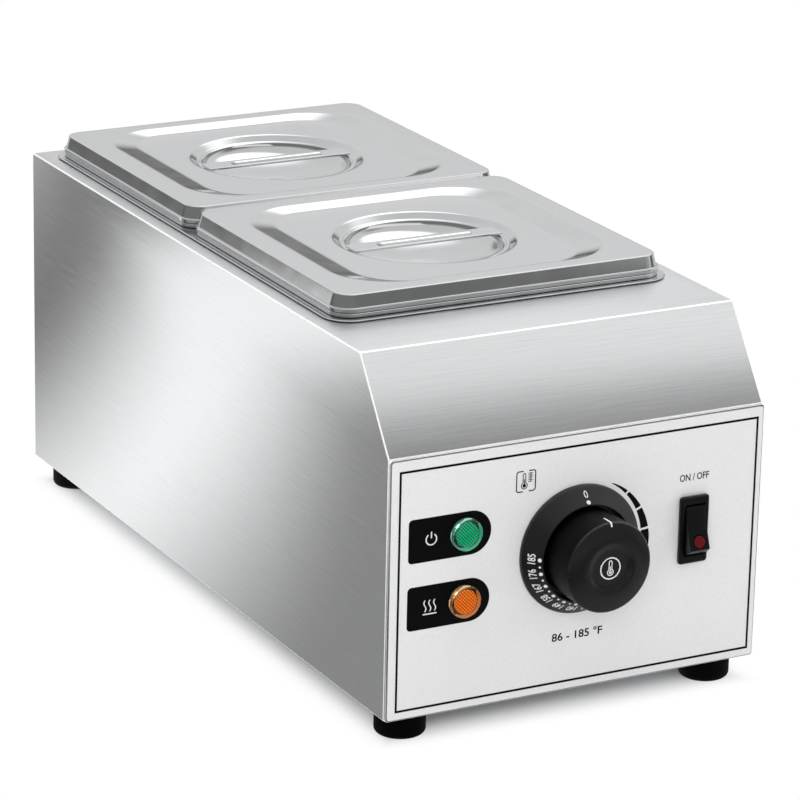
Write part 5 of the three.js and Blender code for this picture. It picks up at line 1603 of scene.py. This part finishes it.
class WARMER_OT_dial(bpy.types.Operator):
    """Turns the dial ring and the knob, and prints their figures"""

    bl_idname = "warmer.dial"
    bl_label = "Dial"

    def execute(self, context):
        ring = turned("dial_ring", in_mm(RING_PROFILE), DIAL_STEPS)
        on_face(ring, 0, DIAL_HEIGHT)
        figures = self.figures(ring, context.scene.warmer_sizes.digit_height)
        dress(ring, "spark_textured_black_abs", "base", "black_plastic", "dial_bezel")
        dress(figures, "pad_printed_white", "base", "white_plastic")
        knob, shoulder = self.knob()
        pointer = self.pointer(shoulder)
        dress(pointer, "pad_printed_white", "dial", "white_plastic", "knob_pointer")
        face_start = knob_low.y + KNOB_FACE

        def is_face(face):
            return face.normal.y < KNOB_FACE_LEAN and face.calc_center_median().y < face_start

        # The face gets the greyer copy: painted sheen
        knob.data.materials.append(finish("moulded_black_phenolic"))
        paint(knob, "finger_rubbed_phenolic", is_face)
        dress(knob, None, "dial", "black_plastic", "control_knob")
        dress(self.knob_sign(), "pad_printed_white", "dial", "white_plastic")
        return {"FINISHED"}

    def on_cone(self, piece, radius, angle):
        """Lays a flat print on the cone at an angle clockwise from the top."""
        foot, head = Vector(CONE_FOOT) * MM, Vector(CONE_HEAD) * MM
        slope = (head.y - foot.y) / (foot.x - head.x)
        height = foot.y + slope * (foot.x - radius) + PRINT_LIFT
        settle(piece, (0, radius, height), (-math.atan(slope), 0, 0))
        settle(piece, (0, 0, 0), (0, 0, -math.radians(angle)))
        return piece

    def figures(self, ring, digit_height):
        """The numbers, the dots at them, and the smaller dots half-way."""
        big, small, off = DOT_SIZES
        prints = []
        for number, value in enumerate(NUMBERS):
            angle = FIRST_NUMBER_ANGLE + NUMBER_STEP * number
            text = lettering("dial_number", str(value), digit_height, *NUMBER_TYPE)
            prints.append(self.on_cone(text, NUMBER_PLACE, angle))
            prints.append(self.on_cone(disc("dial_dot", big, 20), DOT_PLACE, angle))
            if value != NUMBERS[-1]:
                half_way = angle + NUMBER_STEP / 2
                prints.append(self.on_cone(disc("dial_dot", small, 20), DOT_PLACE, half_way))
        prints.append(self.on_cone(disc("dial_dot", off, 20), DOT_PLACE, 0))
        prints.append(self.on_cone(lettering("dial_off", "0", digit_height, OFF_NARROW), OFF_PLACE, 0))
        whole = merge("dial_figures", *prints)
        on_face(whole, 0, DIAL_HEIGHT)
        modify(
            whole, "SHRINKWRAP", target=ring, wrap_method="NEAREST_SURFACEPOINT",
            wrap_mode="ABOVE_SURFACE", offset=FIGURE_LIFT,
        )
        modify(whole, "SOLIDIFY", thickness=INK, offset=0)
        return whole

    def knob(self):
        """The knob: a drafted skirt, a rounded shoulder and a dished face."""
        foot = FILM_FACE - knob_high.y
        top = FILM_FACE - knob_low.y
        skirt = KNOB_RADIUS - KNOB_DRAFT
        edge = top - KNOB_SHOULDER
        rim = KNOB_DISH + KNOB_RIM
        bend_in, bend_up = KNOB_BEND
        shoulder = rounded_path(
            [(skirt, foot), (KNOB_RADIUS, edge), (KNOB_RADIUS - bend_in, edge + bend_up),
             (KNOB_RADIUS * KNOB_CROWN_SHARE, top - KNOB_CROWN_DROP), (rim, top)],
            SHOULDER_ROUNDS, 5,
        )
        dish = rounded_path(
            [(rim, top), (KNOB_DISH, top - KNOB_RIM_DROP),
             (KNOB_DISH - KNOB_DISH_WALL, top - KNOB_DISH_DEPTH), (0, top - KNOB_DISH_DEPTH)],
            KNOB_DISH_ROUNDS, 5,
        )
        inside = skirt - KNOB_WALL
        profile = [
            (0, foot + SHAFT_DEPTH), (SHAFT_BORE, foot + SHAFT_DEPTH), (SHAFT_BORE, foot),
            (SHAFT_BOSS, foot), (SHAFT_BOSS, top - KNOB_ROOF), (inside, top - KNOB_ROOF), (inside, foot),
            *[(point.x, point.y) for point in [*shoulder, *dish[1:]]],
        ]
        knob = turned("dial_knob", profile, DIAL_STEPS)
        on_face(knob, 0, DIAL_HEIGHT)
        return knob, shoulder

    def pointer(self, shoulder):
        """The white line let into the knob's upper edge, a hair proud of it."""
        foot, bend = shoulder[0], shoulder[1]
        end = KNOB_RADIUS - POINTER_FACE
        start = foot.lerp(bend, (bend.y - POINTER_SIDE - foot.y) / (bend.y - foot.y))
        path = [start, *[point for point in shoulder[1:] if point.x > end]]
        last, after = path[-1], shoulder[len(path)]
        path.append(last.lerp(after, (last.x - end) / (last.x - after.x)))
        outward = Vector((1, 1)).normalized()
        proud = [point + outward * POINTER_PROUD for point in path]
        sunk = [point - outward * POINTER_DEPTH for point in path]
        points = [(point.x, point.y, 0) for point in [*proud, *reversed(sunk)]]
        line = closed_outline("pointer_line", points, POINTER_WIDTH)
        settle(line, (0, 0, -POINTER_WIDTH / 2))
        settle(line, (0, 0, 0), (math.pi / 2, 0, math.pi / 2))
        on_face(line, 0, DIAL_HEIGHT)
        return line

    def knob_sign(self):
        """A thermometer in a ring on the dished face."""
        radius, line = KNOB_SIGN_RING
        ring = thicken(disc("knob_sign_ring", radius, 48), line=line)
        sign = thermometer_print("knob_sign", *KNOB_THERMOMETER)
        settle(sign, (0, -KNOB_THERMOMETER_DROP, 0))
        whole = merge("knob_sign", ring, sign)
        on_face(whole, 0, DIAL_HEIGHT, FILM_FACE - knob_low.y - KNOB_DISH_DEPTH)
        return whole


# Switch, feet and gland


# Name, CAD node, broken edge and its segments, finish, body and slot
SWITCH_PIECES = [
    ("switch_frame", "switch_housing", 0.3 * MM, 3, "moulded_black_abs", "base", "black_plastic"),
    ("rocker", "switch_rocker", 0.3 * MM, 3, "moulded_black_abs", "rocker", "black_plastic"),
    ("rocker_lens", "switch_lens", 0.1 * MM, 2, "red_prism_polycarbonate", "rocker", "red_lens"),
]
GLAND_BREAK = 0.4 * MM


class WARMER_OT_switch(bpy.types.Operator):
    """Dresses the rocker switch"""

    bl_idname = "warmer.switch"
    bl_label = "Switch"

    def execute(self, context):
        for name, node, bevel, segments, material, body, slot in SWITCH_PIECES:
            dressed_copy(name, node, bevel, segments, material, body, slot)
        return {"FINISHED"}


FOOT_RADIUS = 12.2 * MM
FOOT_ROUND = 2.6 * MM
FOOT_BREAK = 1.1 * MM
FOOT_TREAD = 9.6 * MM
FOOT_STEPS = 56
SCREW_WELL = 5.2 * MM
SCREW_HOLE = 2.9 * MM
SCREW_SEAT = 5.4 * MM                              # height of the ledge that the screw bears on


class WARMER_OT_feet(bpy.types.Operator):
    """Moulds one foot and copies it to the four corners"""

    bl_idname = "warmer.feet"
    bl_label = "Feet"

    def execute(self, context):
        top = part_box("foot_front_left")[1].z
        profile = [
            (SCREW_WELL, 0), (FOOT_TREAD, 0),
            *arc((FOOT_RADIUS - FOOT_ROUND, FOOT_ROUND), FOOT_ROUND, -80, 0, 6),
            (FOOT_RADIUS, top - FOOT_BREAK),
            *arc((FOOT_RADIUS - FOOT_BREAK, top - FOOT_BREAK), FOOT_BREAK, 10, 90, 4),
            (SCREW_HOLE, top), (SCREW_HOLE, SCREW_SEAT), (SCREW_WELL, SCREW_SEAT), (SCREW_WELL, 0),
        ]
        mould = turned("rubber_foot", profile, FOOT_STEPS)
        for corner in CORNERS:
            middle = middle_of(f"foot_{corner}")
            foot = twin(mould, f"rubber_foot_{corner}", (middle.x, middle.y, 0))
            dress(foot, "moulded_black_rubber", "base", "rubber", f"foot_{corner}")
        bpy.data.objects.remove(mould, do_unlink=True)
        return {"FINISHED"}


class WARMER_OT_gland(bpy.types.Operator):
    """Moulds the cable gland in the rear wall"""

    bl_idname = "warmer.gland"
    bl_label = "Cable gland"

    def execute(self, context):
        dressed_copy(
            "inlet_gland", "cable_gland", GLAND_BREAK, 3, "moulded_black_abs", "base", "black_plastic",
        )
        return {"FINISHED"}


HIDDEN_FINISHES = {
    "zinc_plated_steel": [
        "bottom_plate", "power_lamp_nut", "heat_lamp_nut", "thermostat_spindle", "bulb_clip",
        "thermostat_screw_lower", "thermostat_screw_upper", "element_support_front",
        "element_support_rear",
        *[f"{part}_{corner}" for part in ("foot_screw", "foot_nut", "plate_screw") for corner in CORNERS],
    ],
    "moulded_white_nylon": ["power_lamp_body", "heat_lamp_body"],
    "moulded_cream_resin": ["thermostat_body", "terminal_block"],
    "drawn_copper_tube": ["thermostat_capillary"],
    "heat_darkened_steel": ["heating_element"],
    "machined_brass": [
        "element_gland_left", "element_gland_right", "element_nut_left", "element_nut_right",
    ],
    "moulded_black_abs": ["overheat_limiter", "cable_gland_nut"],
}


class WARMER_OT_fittings(bpy.types.Operator):
    """Gives the parts inside the housing their finishes"""

    bl_idname = "warmer.fittings"
    bl_label = "Inner fittings"

    def execute(self, context):
        for material, names in HIDDEN_FINISHES.items():
            for name in names:
                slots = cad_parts[name].data.materials
                slots.clear()
                slots.append(finish(material))
        return {"FINISHED"}


class WARMER_PT_panel(bpy.types.Panel):
    """Sizes, colours and pieces of the warmer"""

    bl_idname = "WARMER_PT_panel"
    bl_label = "Chocolate warmer"
    bl_space_type = "VIEW_3D"
    bl_region_type = "UI"
    bl_category = "Warmer"

    def draw(self, context):
        scene = context.scene
        for group in (scene.warmer_sizes, scene.warmer_colours):
            column = self.layout.column()
            for name in group.__annotations__:
                column.prop(group, name)
        for operator in OPERATORS:
            self.layout.operator(operator.bl_idname)


OPERATORS = (
    WARMER_OT_stage, WARMER_OT_housing, WARMER_OT_tank, WARMER_OT_pans, WARMER_OT_lids,
    WARMER_OT_panel, WARMER_OT_lamps, WARMER_OT_dial, WARMER_OT_switch, WARMER_OT_feet,
    WARMER_OT_gland, WARMER_OT_fittings,
)
CLASSES = (WarmerSizes, WarmerColours, *OPERATORS, WARMER_PT_panel)


def register():
    for made_class in CLASSES:
        bpy.utils.register_class(made_class)
    bpy.types.Scene.warmer_sizes = bpy.props.PointerProperty(type=WarmerSizes)
    bpy.types.Scene.warmer_colours = bpy.props.PointerProperty(type=WarmerColours)


def unregister():
    del bpy.types.Scene.warmer_colours
    del bpy.types.Scene.warmer_sizes
    for made_class in reversed(CLASSES):
        bpy.utils.unregister_class(made_class)


def main():
    register()
    bpy.ops.warmer.stage()
    bpy.ops.warmer.housing()
    bpy.ops.warmer.tank()
    bpy.ops.warmer.pans()
    bpy.ops.warmer.lids()
    bpy.ops.warmer.panel()
    bpy.ops.warmer.lamps()
    bpy.ops.warmer.dial()
    bpy.ops.warmer.switch()
    bpy.ops.warmer.feet()
    bpy.ops.warmer.gland()
    bpy.ops.warmer.fittings()


if __name__ == "__main__":
    main()
